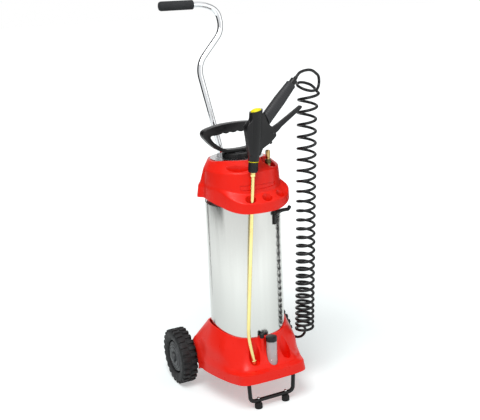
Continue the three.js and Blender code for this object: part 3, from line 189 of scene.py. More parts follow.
bpy.context.collection.objects.link(hose)
fitted(hose, "hose", "chassis", "hose", hose_plastic, "hose_upper", "hose_coil", "hose_lower")

# ---------------------------------------------------------------- base
# One injection moulding of red plastic: a ledge in front, a hollow slope up to the tank's collar,
# fuller flanks, and a cone that falls away to the wheels behind. It is open underneath.


def smooth(value, low, high):
    share = min(1, max(0, (value - low) / (high - low)))
    return share * share * (3 - 2 * share)


def mix(a, b, share):
    return a + (b - a) * share


def clear():
    if bpy.context.object and bpy.context.object.mode != "OBJECT":
        bpy.ops.object.mode_set(mode="OBJECT")
    bpy.ops.object.select_all(action="DESELECT")


def alone(piece):
    clear()
    piece.select_set(True)
    bpy.context.view_layer.objects.active = piece


def mesh_body(name, corners, faces):
    mesh = bpy.data.meshes.new(name)
    mesh.from_pydata(corners, [], faces)
    piece = bpy.data.objects.new(name, mesh)
    bpy.context.collection.objects.link(piece)
    return piece


def ring_body(name, rings, foot_z, head_z):
    # a closed body through a stack of rings, with a flat fan at the foot and at the head
    count = len(rings[0])
    corners = [spot(*at) for ring in rings for at in ring] + [spot(0, 0, foot_z), spot(0, 0, head_z)]
    foot, head = len(corners) - 2, len(corners) - 1
    faces = []
    for i in range(count):
        j = (i + 1) % count
        faces.append((foot, j, i))
        for row in range(len(rings) - 1):
            low = row * count
            faces.append((low + i, low + j, low + count + j, low + count + i))
        top = (len(rings) - 1) * count
        faces.append((head, top + i, top + j))
    return mesh_body(name, corners, faces)


def own(x, y, z):
    # a place in a piece's own frame
    return Vector((x, y, z)) / 1000


def along(way):
    # the turn that lays the Z axis along a way
    return way.to_track_quat("Z", "Y").to_matrix().to_4x4()


def round_bar(radius, start, end, sides=40, place=spot):
    # a plain round cutter or boss that runs from one point to another
    clear()
    start, end = place(*start), place(*end)
    bpy.ops.mesh.primitive_cylinder_add(vertices=sides, radius=radius / 1000, depth=(end - start).length)
    bar = bpy.context.object
    bar.data.transform(along(end - start))
    bar.data.transform(Matrix.Translation((start + end) / 2))
    return bar


def joined(pieces):
    alone(pieces[0])
    for piece in pieces:
        piece.select_set(True)
    bpy.ops.object.join()
    return bpy.context.object


def worked(piece, way, *tools):
    # the piece after a boolean with each tool in turn; the tools are used up
    for tool in tools:
        alone(piece)
        change = piece.modifiers.new("cut", "BOOLEAN")
        change.operation, change.solver, change.object = way, "EXACT", tool
        bpy.ops.object.modifier_apply(modifier="cut")
        bpy.data.objects.remove(tool, do_unlink=True)
    return piece


def cut(piece, *tools):
    return worked(piece, "DIFFERENCE", *tools)


def eased(piece, width, segments=2, angle=38):
    alone(piece)
    soft = piece.modifiers.new("soft", "BEVEL")
    soft.width, soft.segments, soft.angle_limit = width / 1000, segments, math.radians(angle)
    soft.limit_method = "ANGLE"
    bpy.ops.object.modifier_apply(modifier="soft")
    return piece


def shaded(piece, angle=35):
    alone(piece)
    bpy.ops.object.shade_smooth_by_angle(angle=math.radians(angle))
    return piece


def catmull(values, place):
    # a smooth curve through a row of values
    first = min(int(place), len(values) - 2)
    t = place - first
    a, b = values[max(first - 1, 0)], values[first]
    c, d = values[first + 1], values[min(first + 2, len(values) - 1)]
    start = 2 * b + (c - a) * t
    return 0.5 * (start + (2 * a - 5 * b + 4 * c - d) * t * t + (3 * b - a - 3 * c + d) * t ** 3)


wheel_radius, wheel_mid, axle_y = 78, 154, 130
deck_z, collar_radius, tank_hole = 120, 104.3, 100.3
recess_x, tube_y, stand_y, socket_x = 121, 118, -126, 69
foot_outline = [(0, -158), (61, -156), (89, -151), (97, -144), (110, -97), (122, -62), (131, -26), (136, 0),
                (137, 65), (126, 142), (109, 154), (0, 158)]
front_profile = [(0, 0), (0.07, 0.235), (0.37, 0.27), (0.58, 0.42), (0.8, 0.68), (0.94, 0.88), (1, 1)]
flank_profile = [(0, 0), (0.02, 0.21), (0.17, 0.36), (0.27, 0.55), (0.45, 0.69), (0.75, 0.86), (1, 1)]
cone_shares = [1, 1, 1, 0.75, 0.5, 0.25, 0]


def reach_at(angle):
    # how far out the foot's outline lies, seen from the tank's axis; 0 degrees is the front
    east, south = math.sin(math.radians(abs(angle))), -math.cos(math.radians(abs(angle)))
    for (ax, ay), (bx, by) in zip(foot_outline, foot_outline[1:]):
        cross = east * (by - ay) - south * (bx - ax)
        if abs(cross) < 1e-9:
            continue
        far, share = (ax * (by - ay) - ay * (bx - ax)) / cross, (ax * south - ay * east) / cross
        if far > 0 and -1e-6 <= share <= 1 + 1e-6:
            return far
    return 158


def soft_reach(angle):
    reaches = [reach_at((angle + aside + 180) % 360 - 180) for aside in (-3.2, -1.6, 0, 1.6, 3.2)]
    return sum(reaches) / 5


def collar_at(angle):
    rise = mix(187, 205, smooth(abs(angle), 30, 95))
    return mix(rise, 190, smooth(abs(angle), 106, 150))


def collar_out(angle):
    return 5 * smooth(abs(angle), 70, 116)


def base_skin(angle, inset, drop, finer):
    # one upright section of the base, from its rim to the collar
    a = abs(angle)
    reach, top = soft_reach(angle), collar_radius + collar_out(angle)
    rim = mix(mix(86, 79, smooth(a, 30, 50)), 62, smooth(a, 99, 112))
    collar, to_flank, to_cone = collar_at(angle), smooth(a, 34, 62), smooth(a, 96, 122)
    out, high = [], []
    for row in range(7):
        inward = mix(front_profile[row][0], flank_profile[row][0], to_flank)
        upward = mix(front_profile[row][1], flank_profile[row][1], to_flank)
        spread = cone_shares[row] * (reach - top)
        cone = max(collar - 1.25 * spread, rim + 20)
        cone_z = (rim, mix(rim, cone, 0.5), cone)[min(row, 2)]
        out.append(mix(mix(reach, top, inward), top + spread, to_cone))
        high.append(mix(mix(rim, collar, upward), cone_z, to_cone))
    rows = []
    for i in range(6 * finer + 1):
        place = i / finer
        row = min(int(place), 5)
        crisp = 0.95 * (1 - smooth(place, 1.8, 3.2))
        rows.append((mix(catmull(out, place), mix(out[row], out[row + 1], place - row), crisp) - inset,
                     mix(catmull(high, place), mix(high[row], high[row + 1], place - row), crisp) - drop))
    return rows


def around(angle, radius, z):
    return (radius * math.sin(math.radians(angle)), -radius * math.cos(math.radians(angle)), z)


def fan(step):
    # bearings all round the tank, in degrees
    return [-180 + step * (i + 1) for i in range(round(360 / step))]


def base_rings(step, inset, drop, finer):
    skins = [base_skin(angle, inset, drop, finer) for angle in fan(step)]
    return [[around(a, *skin[row]) for a, skin in zip(fan(step), skins)] for row in range(6 * finer + 1)]


shell = ring_body("base_outside", base_rings(2.5, 0, 0, 5), 79, 190)
below = [around(a, soft_reach(a) - 4, 22) for a in fan(5)]
room = ring_body("base_inside", [below] + base_rings(5, 4, 4, 2), 22, 190)


def cup(grow):
    # the seat of the tank: straight at its foot, then opened with the collar
    flare_z, collar_top, above = 150, 205, 260
    share = (above - flare_z) / (collar_top - flare_z)
    rings = [[around(a, tank_hole + grow, deck_z - grow) for a in fan(4)],
             [around(a, tank_hole + grow, flare_z) for a in fan(4)],
             [around(a, tank_hole + grow + share * collar_out(a), above) for a in fan(4)]]
    return ring_body("cup", rings, deck_z - grow, above)


def axle_bar(radius, start, end, sides=40):
    # a bar along the axle
    return round_bar(radius, (start, axle_y, wheel_radius), (end, axle_y, wheel_radius), sides)


def wheel_wells(inner, grow):
    return [axle_bar(wheel_radius + 10 + grow, side * inner, side * 170, 72) for side in (-1, 1)]


rest_pocket, box_pocket, side_pocket = (-41, -114.1, 15, 122.5), (7, -121.1, 15, 104), (51, -111.2, 16, 109)
pockets = (rest_pocket, box_pocket, side_pocket)
spare_spot = (-15, -109.9)
stand_bosses = [round_bar(9.5, (side * socket_x, stand_y, 90), (side * socket_x, stand_y, 116))
                for side in (-1, 1)]
pocket_walls = [round_bar(r + 3, (x, y, floor - 3), (x, y, 240)) for x, y, r, floor in pockets]
cut(room, cup(4), joined(wheel_wells(recess_x - 4, 4)), *stand_bosses, *pocket_walls,
    axle_bar(12.4, -126, 126))
cut(shell, room)
worked(shell, "UNION", round_bar(13.3, (0, tube_y, 98), (0, tube_y, 236), 48),
       round_bar(6.5, (*spare_spot, 144), (*spare_spot, 188.5), 32))
pocket_holes = [round_bar(r, (x, y, floor), (x, y, 260), 48) for x, y, r, floor in pockets]
tube_holes = [round_bar(8.3, (0, tube_y, 103), (0, tube_y, 240)),
              round_bar(3.3, (*spare_spot, 147), (*spare_spot, 205)),
              round_bar(2.8, (-20, tube_y, 160), (20, tube_y, 160), 20)]
stand_holes = [round_bar(5.8, (side * 62.7, stand_y, 5), (side * socket_x, stand_y, 112.3))
               for side in (-1, 1)]
cut(shell, cup(0), *pocket_holes, joined(wheel_wells(recess_x, 0)), joined(tube_holes),
    axle_bar(6.3, -137, 137), joined(stand_holes))
eased(shell, 0.9, 2, 40)
red_plastic = finish("red_polypropylene", (247, 36, 18), (234, 26, 12), 0.34, grain=1400, relief=0.04)
fitted(shaded(shell, 40), "base", "chassis", "red_plastic", red_plastic, "base_shell")

# ---------------------------------------------------------------- stand
# A bar of black coated steel, bent to a U and pushed into the base, on two rubber feet that
# are each held by a bright round-headed screw.


def opened(piece):
    # the piece in edit mode, with all of it selected
    alone(piece)
    bpy.ops.object.mode_set(mode="EDIT")
    bpy.ops.mesh.select_all(action="SELECT")


def outward(piece):
    # all faces of a closed mesh turned outward
    opened(piece)
    bpy.ops.mesh.normals_make_consistent(inside=False)
    bpy.ops.object.mode_set(mode="OBJECT")
    return piece


def bent(name, route, radius, sides=20):
    # a round bar or tube along a route
    line = bpy.data.curves.new(name, "CURVE")
    line.dimensions = "3D"
    spline = line.splines.new("POLY")
    spline.points.add(len(route) - 1)
    for knot, at in zip(spline.points, route):
        knot.co = (*spot(*at), 1)
    line.bevel_depth, line.bevel_resolution = radius / 1000, sides // 4
    line.use_fill_caps = True
    piece = bpy.data.objects.new(name, line)
    bpy.context.collection.objects.link(piece)
    alone(piece)
    bpy.ops.object.convert(target="MESH")
    opened(bpy.context.object)
    bpy.ops.mesh.remove_doubles(threshold=1e-5)
    return shaded(outward(bpy.context.object), 40)


def rounded_route(corners, bends, steps, limit=0.5):
    # a line whose corners are rounded, each by its own bend within a share of the stretches beside it
    corners = [Vector(c) for c in corners]
    route = [corners[0]]
    for before, corner, after, bend in zip(corners, corners[1:], corners[2:], bends):
        back, ahead = before - corner, after - corner
        reach = min(bend, limit * back.length, limit * ahead.length)
        start, end = corner + back.normalized() * reach, corner + ahead.normalized() * reach
        for i in range(steps + 1):
            t = i / steps
            route.append(start * (1 - t) ** 2 + corner * 2 * t * (1 - t) + end * t * t)
    return route + [corners[-1]]


def spun(profile, steps=64):
    # a turned form: the profile of radius and height is drawn edge by edge, then spun about Z
    clear()
    bpy.ops.mesh.primitive_plane_add(size=0.002, enter_editmode=True)
    bpy.ops.mesh.merge(type="CENTER")
    bpy.ops.transform.translate(value=(profile[0][0] / 1000, 0, profile[0][1] / 1000))
    for (r0, z0), (r1, z1) in zip(profile, profile[1:]):
        edge = ((r1 - r0) / 1000, 0, (z1 - z0) / 1000)
        bpy.ops.mesh.extrude_region_move(TRANSFORM_OT_translate={"value": edge})
    bpy.ops.mesh.select_all(action="SELECT")
    bpy.ops.mesh.spin(steps=steps, angle=2 * math.pi, center=(0, 0, 0), axis=(0, 0, 1))
    bpy.ops.mesh.select_all(action="SELECT")
    bpy.ops.mesh.remove_doubles(threshold=1e-5)
    bpy.ops.mesh.select_all(action="SELECT")
    bpy.ops.mesh.delete_loose(use_verts=True, use_edges=True)
    return shaded(outward(bpy.context.object), 38)


def moved(piece, x=0, y=0, z=0):
    piece.data.transform(Matrix.Translation(spot(x, y, z)))
    return piece


def copied(piece):
    twin = piece.copy()
    twin.data = piece.data.copy()
    bpy.context.collection.objects.link(twin)
    return twin


black_steel = finish("black_coated_steel", (28, 28, 29), (18, 18, 19), 0.34, grain=500, relief=0.08)
black_rubber = finish("foot_rubber", (38, 38, 38), (26, 26, 26), 0.75, grain=700, relief=0.2)
bright_steel = finish("bright_steel", (214, 214, 212), (180, 180, 180), 0.18, metal=1.0, grain=600,
                      relief=0.02)
stand_corners = [(-socket_x, stand_y, 111.7), (-64, stand_y, 22.3), (64, stand_y, 22.3),
                 (socket_x, stand_y, 111.7)]
stand = bent("stand", rounded_route(stand_corners, (15, 15), 10), 5.5)
fitted(stand, "stand", "chassis", "black_plastic", black_steel, "stand_bar")
pad = spun([(0, 0), (9.6, 0), (10.5, 0.9), (10.5, 11), (9.9, 13), (8.6, 15.6), (7.6, 16.5), (2.3, 16.5),
            (2.3, 6.2), (0, 6.2), (0, 0)], 48)
screw = spun([(0, 6.5), (2, 6.5), (2, 28.1), (4.2, 28.1), (4.2, 28.7), (3.5, 30.2), (2, 31), (0, 31.1)], 32)
for side, x in (("left", -41), ("right", 41)):
    fitted(moved(copied(pad), x, stand_y), "foot_" + side, "chassis", "rubber", black_rubber,
           "foot_pad_" + side)
    fitted(moved(copied(screw), x, stand_y), "foot_bolt_" + side, "chassis", "stainless", bright_steel,
           "foot_screw_" + side)
bpy.data.objects.remove(pad)
bpy.data.objects.remove(screw)

# ---------------------------------------------------------------- wheels
# Two moulded wheels on a plain steel axle: a grey dished hub with raised rings, a press-on cap,
# and a black tyre with blocks of tread in two staggered rows.


def kept(node, made_of):
    # a CAD solid that stays, with its material changed
    piece = bpy.data.objects[node]
    piece.data.materials.clear()
    piece.data.materials.append(made_of)


def slab(width, depth, height):
    # a plain block about the origin
    clear()
    bpy.ops.mesh.primitive_cube_add(size=1, location=(0, 0, 0))
    opened(bpy.context.object)
    bpy.ops.transform.resize(value=(width / 1000, depth / 1000, height / 1000))
    bpy.ops.object.mode_set(mode="OBJECT")
    return bpy.context.object


def turned(degrees, axis):
    return Matrix.Rotation(math.radians(degrees), 4, axis)


def ringed(piece, count, place, first=0.0):
    # copies of a piece at one place after another round the Z axis; the piece itself is used up
    twins = []
    for i in range(count):
        twin = copied(piece)
        twin.data.transform(turned(360 * (i + first) / count, "Z") @ place)
        twins.append(twin)
    bpy.data.objects.remove(piece)
    return twins


tyre_rubber = finish("tyre_rubber", (46, 46, 47), (30, 30, 31), 0.62, grain=420, relief=0.22, spread=0.1)
grey_plastic = finish("grey_hub_plastic", (76, 77, 79), (60, 61, 63), 0.42, relief=0.06)
half = [(47, 17), (49, 19.5), (55, 21), (60, 22.6), (66, 22.6), (70.5, 20.5), (73, 17), (74.3, 12)]
tyre = spun([(r, -z) for r, z in half] + [(74.8, 0)] + half[::-1] + [(47, -17)], 96)
lug = eased(slab(7.5, 9.8, 18.5), 1.1, 2, 30)
lugs_a_row = 26
blocks = []
for row, height in ((0, -11.2), (1, 11.2)):
    tread = Matrix.Translation(own(74.2, 0, height))
    shoulder = (Matrix.Translation(own(70.3, 0, 1.52 * height))
                @ turned(-32 if row else 32, "Y")
                @ Matrix.Diagonal((0.8, 0.94, 0.42, 1)))
    for place in (tread, shoulder):
        blocks += ringed(copied(lug), lugs_a_row, place, row / 2)
bpy.data.objects.remove(lug)
tyre = shaded(joined([tyre] + blocks), 38)
hub = spun([(6.4, -19), (20, -19), (22, -11), (38, -9), (44, -15), (46.7, -15), (46.7, 7), (44.2, 7),
            (44.2, 14), (42.6, 16.4), (40, 17.6), (36.5, 18.3), (36, 17.2), (34.6, 17.2), (34.1, 18.8),
            (29, 20), (28.5, 18.9), (27, 18.9), (26.5, 20.5), (21, 21), (18.5, 20.6), (16.5, 19.3),
            (6.4, 19.3), (6.4, -19)], 72)
cap = spun([(0, 25.7), (9, 24.7), (12, 23.3), (12, 19.5), (14, 19.5), (14, 24.2), (12.8, 26.1), (9.5, 27.2),
            (5.5, 27.3), (5, 26.8), (4.2, 26.8), (3.7, 27.6), (0, 28.2), (0, 25.7)], 48)
for side, way in (("left", -1), ("right", 1)):
    middle = spot(way * wheel_mid, axle_y, wheel_radius)
    onto_axle = Matrix.Translation(middle) @ turned(90 * way, "Y")
    body = "wheel_" + side
    for piece, name, slot, made_of, node in ((tyre, "tread_", "tyre", tyre_rubber, "tyre_"),
                                             (hub, "wheel_hub_", "grey_plastic", grey_plastic, "hub_"),
                                             (cap, "wheel_cap_", "grey_plastic", grey_plastic, "hub_cap_")):
        twin = copied(piece)
        twin.data.transform(onto_axle)
        fitted(twin, name + side, body, slot, made_of, node + side)
    kept("axle_spacer_" + side, grey_plastic)
    kept("axle_clip_" + side, bright_steel)
for piece in (tyre, hub, cap):
    bpy.data.objects.remove(piece)
kept("axle", bright_steel)

# ---------------------------------------------------------------- tank
# A drawn cylinder of brushed stainless steel with a dished end welded into each end of it, and
# a neck for the pump. Its wall is left plain.


def brushed_grain():
    # the same grain, drawn out along the tank by the brush
    group = grain_group.copy()
    group.name = "brushed_grain"
    place = next(node for node in group.nodes if node.bl_idname == "ShaderNodeTexCoord")
    stretch = group.nodes.new("ShaderNodeMapping")
    stretch.inputs["Scale"].default_value = (1, 1, 0.03)
    group.links.new(place.outputs["Object"], stretch.inputs["Vector"])
    for noise in group.nodes:
        if noise.bl_idname == "ShaderNodeTexNoise":
            group.links.new(stretch.outputs["Vector"], noise.inputs["Vector"])
    return group


tank_steel = finish("brushed_stainless", (212, 212, 208), (192, 192, 189), 0.2, metal=1.0, grain=1500,
                    spread=0.05, group=brushed_grain())
tank = spun([(98.5, 120.3), (100, 120.3), (100, 121.5), (100, 541), (99.4, 543.3), (98.5, 543.3),
             (98.5, 120.3)], 128)
fitted(moved(tank), "tank_wall", "chassis", "stainless", tank_steel, "tank_shell")
for node in ("tank_top", "tank_bottom", "filler_neck"):
    kept(node, tank_steel)
disc_steel = finish("pump_plate_steel", (206, 206, 206), (182, 182, 184), 0.26, metal=1.0,
                    relief=0.03)
pump_y, neck_hole = 22, 36.3
plate = spun([(neck_hole, 650.3), (70.6, 650.3), (71, 650.8), (71, 651.8), (70.5, 652.3), (60, 652.3),
              (neck_hole, 652.3), (neck_hole, 650.3)], 96)
fitted(moved(plate, 0, pump_y), "pump_plate", "chassis", "stainless", disc_steel, "neck_plate")

# ---------------------------------------------------------------- cover
# A red moulded hood over the tank's top: a shelf with slots for the lance in front, a half-round
# tray and a well for the valve in its top, a label band framed by a fine groove, and a wing at
# each rear corner.


def lobe(angle, middle, half):
    return 1 - smooth(abs(abs(angle) - middle), half - 4, half + 4)


def cover_skin(angle, inset, drop, fillets, steps):
    # one upright section of the hood, from its rim to the edge round the pump
    a = abs(angle)
    shelf = smooth(angle, -66, -22) * (1 - smooth(angle, 56, 74))
    wing = lobe(angle, 122, 18)
    shelf_rise = max(smooth(angle, 42, 72), smooth(-angle, 15, 70))
    lip = 5 * smooth(math.cos(math.radians(angle)), 0, 0.8)
    rim = mix(531, 556, smooth(a, 15, 95))
    radii = [(104 + 20 * shelf + 15 * wing, rim),
             (101.9 + 21 * shelf + 12.75 * wing, mix(556, 586, shelf_rise)),
             (100.5 + 9 * wing, mix(577, 592, shelf_rise)), (97 + 1.5 * wing, 630)]
    places = [Vector(around(angle, r - inset, z - drop)) for r, z in radii]
    places += [Vector(around(angle, r - inset, 650 + lip - drop)) + Vector((0, pump_y, 0))
               for r in (77, 66)]
    return rounded_route(places, fillets, steps, 0.45)


def cover_rings(step, inset, drop, fillets, steps):
    skins = [cover_skin(a, inset, drop, fillets, steps) for a in fan(step)]
    return [[skin[row] for skin in skins] for row in range(len(skins[0]))]


def sawn(outline, thick, holes=()):
    # a flat outline in the X-Z plane, face filled and drawn out along Y, centred on Y = 0
    corners = [(x / 1000, -thick / 2000, z / 1000) for x, z in outline]
    piece = mesh_body("sawn", corners, [tuple(range(len(outline)))])
    opened(piece)
    bpy.ops.mesh.extrude_region_move(TRANSFORM_OT_translate={"value": (0, thick / 1000, 0)})
    return cut(outward(piece), *[sawn(hole, 2 * thick) for hole in holes])


def tray_form(grow):
    # a slice of a disc with its straight edge towards the pump, drawn flat and stood upright
    radius, middle_y, edge_off, floor_z, high = 38, -54.5, 19, 618, 52
    half = math.acos(edge_off / radius)
    fans = [half * (i / 12 - 1) for i in range(25)]
    arc = [((radius + grow) * math.sin(a), middle_y - (radius + grow) * math.cos(a)) for a in fans]
    arc[0], arc[-1] = (arc[0][0], arc[0][1] + grow), (arc[-1][0], arc[-1][1] + grow)
    form = sawn(arc, high + grow)
    form.data.transform(turned(-90, "X"))
    form.data.transform(Matrix.Translation(own(0, 0, floor_z - grow + (high + grow) / 2)))
    form.data.transform(turned(-31, "Z"))
    return moved(form)


def wall_band(start, end, foot, head, low, far):
    # a curved block from one radius to another, narrower towards its right end
    n = 25
    corners = []
    for radius in (low, far):
        for edge, inward in ((foot, 1), (head, -1)):
            for i in range(n):
                share = i / (n - 1)
                z = edge + inward * 2.5 * smooth(share, 0.3, 1.2)
                corners.append(spot(*around(mix(start, end, share), radius, z)))
    faces = []
    for i in range(n - 1):
        for one, other in ((0, 1), (1, 3), (3, 2), (2, 0)):
            faces.append((one * n + i, one * n + i + 1, other * n + i + 1, other * n + i))
    faces += [(0, n, 3 * n, 2 * n), (n - 1, 3 * n - 1, 4 * n - 1, 2 * n - 1)]
    return outward(mesh_body("band", corners, faces))


cover = ring_body("cover", cover_rings(2.5, 0, 0, (3, 2.6, 3, 2.4), 4), 552, 655)
inner_rings = cover_rings(5, 3.5, 3.5, (3, 7, 4, 2), 2)
inner_rings[0] = [Vector((at.x, at.y, 511)) for at in inner_rings[0]]
hollow = ring_body("cover_inside", inner_rings, 511, 646.5)


def shelf_slots(grow, foot, head):
    # the three oval slots along the shelf
    deep, long = 8.6 + grow, 14.4 + grow
    bars = []
    for angle in (-15.4, 8, 33.6):
        bar = round_bar(deep, (0, 0, foot), (0, 0, head), 32, own)
        bar.data.transform(Matrix.Diagonal((long / deep, 1, 1, 1)))
        bar.data.transform(turned(angle, "Z"))
        bars.append(moved(bar, *around(angle, 112.1, 0)))
    return bars


well = (51, -55)
cut(hollow, tray_form(3.5), round_bar(22.5, (*well, 613.5), (*well, 670), 48), *shelf_slots(3, 546, 600))
cut(cover, hollow)
cut(cover, tray_form(0), round_bar(19, (*well, 617), (*well, 670), 64),
    round_bar(71.6, (0, pump_y, 650), (0, pump_y, 670), 96),
    round_bar(neck_hole, (0, pump_y, 600), (0, pump_y, 660), 64),
    round_bar(6.3, (*well, 605), (*well, 627)), *shelf_slots(0, 544, 618),
    wall_band(-29, 33, 586, 599.5, 97.6, 112))
worked(cover, "UNION", wall_band(-28, 32, 587.8, 597.7, 96.8, 98.9))
eased(cover, 0.5, 2, 42)
fitted(shaded(cover, 38), "hood", "chassis", "red_plastic", red_plastic, "cover_shell")

# ---------------------------------------------------------------- pump
# A hand pump screwed into the neck: a black ribbed nut, a grey guide that turns with the handle,
# a chromed rod, and a black moulded handle with finger grooves under its top bar.
black_plastic = finish("black_polyamide", (30, 30, 31), (20, 20, 21), 0.34, grain=800, relief=0.08)
chromed = finish("chromed_steel", (226, 228, 230), (208, 210, 212), 0.07, metal=1.0, grain=300, relief=0.01,
                 spread=0.03)
nut = spun([(neck_hole, 652.6), (38.5, 652.6), (38.5, 662.6), (37.9, 663.9), (36.8, 664.5), (15.9, 664.5),
            (15.9, 661.1), (neck_hole, 661.1), (neck_hole, 652.6)], 96)
ribs = ringed(slab(1.4, 2.2, 8.5), 48, Matrix.Translation(own(38.4, 0, 657.7)))
fitted(moved(shaded(joined([nut] + ribs)), 0, pump_y), "neck_nut", "chassis", "black_plastic",
       black_plastic, "pump_nut")
guide = spun([(6.4, 645), (18.6, 645), (18.6, 660.8), (15.5, 660.8), (15.5, 664.2), (14.7, 665), (6.4, 665),
              (6.4, 645)], 48)
fitted(moved(guide, 0, pump_y), "turning_guide", "pump_turn", "grey_plastic", grey_plastic, "rod_guide")
piston_rod = spun([(0, 248.3), (5.4, 248.3), (6, 249), (6, 671.2), (0, 671.2)], 48)
fitted(moved(piston_rod, 0, pump_y), "piston_rod", "pump_stroke", "chrome", chromed, "pump_rod")
outside = [(0, 0), (32, 0.3), (46, 5), (60, 12), (72, 21), (82, 31), (90, 40), (95, 46), (97.6, 52),
           (97.8, 57), (95.5, 62.2), (90, 66), (80, 69.4), (61, 73.5), (42, 76.3), (21, 77.6), (0, 78)]
inside = [(0, 8), (16, 8.3), (32, 9.8), (45, 15), (57, 23), (68, 32), (74.5, 41), (77, 46), (75.5, 49),
          (71, 49.8), (62, 50), (54, 50.8), (47, 52), (42, 54.2), (37, 52.8), (32, 51.6), (27, 52.6),
          (22, 55), (17, 53.4), (12, 52.4), (6, 53.2), (0, 56)]


def both_halves(points):
    return points + [(-x, z) for x, z in reversed(points[1:-1])]


handle = sawn(both_halves(outside), 24, [both_halves(inside)])
eased(handle, 5.2, 4, 50)
moved(handle, 0, pump_y, 665.3)
cut(handle, round_bar(6.3, (0, pump_y, 660), (0, pump_y, 671.5)))
fitted(shaded(handle, 50), "pump_grip", "pump_stroke", "black_plastic", black_plastic, "pump_handle")
for node in ("pump_barrel", "pump_piston"):
    kept(node, black_plastic)
for node in ("pump_foot_valve", "piston_seal"):
    kept(node, black_rubber)

# ---------------------------------------------------------------- carrying tube
# A chromed steel tube behind the tank, bent in a lazy S and hooked over to a foam grip. It stands
# in the base, held by a cross bolt, and a block holds it off the cover.
foam = finish("grip_foam", (58, 59, 61), (42, 43, 44), 0.92, grain=1100, relief=0.5)


def leaning(x, z):
    # above the hood the tube leans back by one in five
    return (x, tube_y + 0.2 * (z - 660), z)


tube_corners = [(0, tube_y, 103.3), (0, tube_y, 648), leaning(-36, 882), leaning(49, 969), leaning(43, 1022),
                leaning(4, 1040), leaning(-120, 1040)]
tube = bent("tube", rounded_route(tube_corners, [34] * 5, 12), 8, 32)
fitted(tube, "bent_tube", "chassis", "chrome", chromed, "carrying_tube")
sleeve = spun([(0, 94), (8.3, 94), (8.3, 0), (10.6, 0), (11.8, 0.6), (12.5, 2.2), (12.5, 90), (11.9, 93),
               (10.4, 95.6), (7.5, 96.8), (0, 97), (0, 94)], 64)
sleeve.data.transform(turned(-90, "Y"))
fitted(moved(sleeve, -27, 194, 1040), "foam_grip", "chassis", "foam", foam, "carrying_grip")
block = sawn([(-12, -14), (12, -14), (12, 14), (-12, 14)], 34)
block.data.transform(turned(90, "Y"))
moved(block, 0, 115, 604)
cut(block, round_bar(8.3, (0, tube_y, 580), (0, tube_y, 628)),
    round_bar(99.3, (0, 0, 580), (0, 0, 628), 128))
fitted(shaded(eased(block, 1.2, 2, 50), 40), "tube_block", "chassis", "black_plastic", black_plastic,
       "tube_clamp")
kept("socket_bolt", bright_steel)

# ---------------------------------------------------------------- lance
# A brass tube of pale yellow colour that passes through the shelf, bent near its foot, with a
# ferrule above and the nozzle below in its rest pocket.
pale_brass = finish("pale_brass", (240, 226, 160), (226, 204, 128), 0.22, metal=1.0, grain=400,
                    relief=0.02)
gun_y = -108
lance_top, lance_bend = Vector((-21, gun_y, 634)), Vector((-57, -115, 204))
lance_tip = Vector((-44.5, -116.5, 132))


def towards(start, end, far):
    # the point that lies so far from the start on the way to the end
    return start + (end - start).normalized() * far


def aimed(piece, start, end):
    # a turned piece laid along the way from start to end
    piece.data.transform(along(end - start))
    return moved(piece, *start)


nozzle_start = towards(lance_tip, lance_bend, 13 / 3)
lance_corners = [towards(lance_top, lance_bend, 12.3), lance_bend, nozzle_start]
lance = bent("lance", rounded_route(lance_corners, (24,), 10), 4.7, 32)
fitted(lance, "lance", "chassis", "brass", pale_brass, "lance_tube")
ferrule = spun([(0, 0), (6.2, 0), (6.6, 0.4), (6.6, 2.4), (5.9, 2.9), (5.9, 3.9), (6.6, 4.4), (6.6, 7.4),
                (5.3, 11.6), (5, 12), (0, 12), (0, 0)], 48)
fitted(aimed(ferrule, lance_top, lance_bend), "ferrule", "chassis", "brass", pale_brass, "lance_ferrule")
jet = spun([(0, 0.3), (4.2, 0.3), (6.1, 2), (6.5, 2.6), (6.5, 9.4), (6, 10.2), (4, 12.8), (1.2, 13),
            (1.2, 11), (0, 11), (0, 0.3)], 6)
fitted(shaded(aimed(jet, nozzle_start, lance_tip), 30), "jet", "chassis", "brass", pale_brass, "nozzle")

# ---------------------------------------------------------------- spray gun
# A black moulded valve body with a yellow cap, a union nut with a yellow ring, a hinged lever with
# its lock button, and a ribbed grip that the hose enters through a stepped sleeve. All of it is
# drawn upright about the lance's nut, then leaned a little and set in place.
gun_place = Matrix.Translation(spot(-18.15, gun_y, 662.56)) @ turned(5.7, "Y")
yellow_plastic = finish("yellow_polyamide", (246, 234, 34), (232, 216, 20), 0.36)
grip_plastic = finish("grip_polyamide", (62, 62, 64), (42, 42, 44), 0.48, grain=650, relief=0.25)


def on_gun(piece, name, body, slot, made_of, *nodes):
    piece.data.transform(gun_place)
    return fitted(piece, name, body, slot, made_of, *nodes)


union_nut = spun([(0, -28.4), (9.4, -28.4), (10.2, -27.8), (11.5, -26.2), (11.5, -24), (12.1, -3.4),
                  (11.6, -2.4), (0, -2.4), (0, -28.4)], 48)
ribs = ringed(slab(1.2, 1.6, 17), 20, Matrix.Translation(own(11.7, 0, -14.5)))
on_gun(shaded(joined([union_nut] + ribs)), "union_nut", "chassis", "black_plastic", black_plastic,
       "lance_nut")
ring = spun([(0, -2.1), (12.4, -2.1), (12.9, -1.7), (12.9, -0.7), (12.4, -0.3), (0, -0.3), (0, -2.1)], 48)
on_gun(ring, "yellow_ring", "chassis", "yellow_plastic", yellow_plastic, "lance_seal")
barrel = spun([(0, 0), (12.9, 0), (13.5, 0.7), (15, 24), (16.5, 60), (16.5, 131), (0, 131), (0, 0)], 64)
flank = sawn([(-14, 14), (-20.5, 48), (-25.6, 70), (-27, 78), (-27.3, 87), (-24, 93), (-15.5, 101),
              (-12, 114), (18, 120), (23, 114), (34, 91), (41, 88), (52, 78), (57, 63), (40, 45),
              (20.4, 32), (14, 14)], 24)
eased(flank, 4, 3, 50)
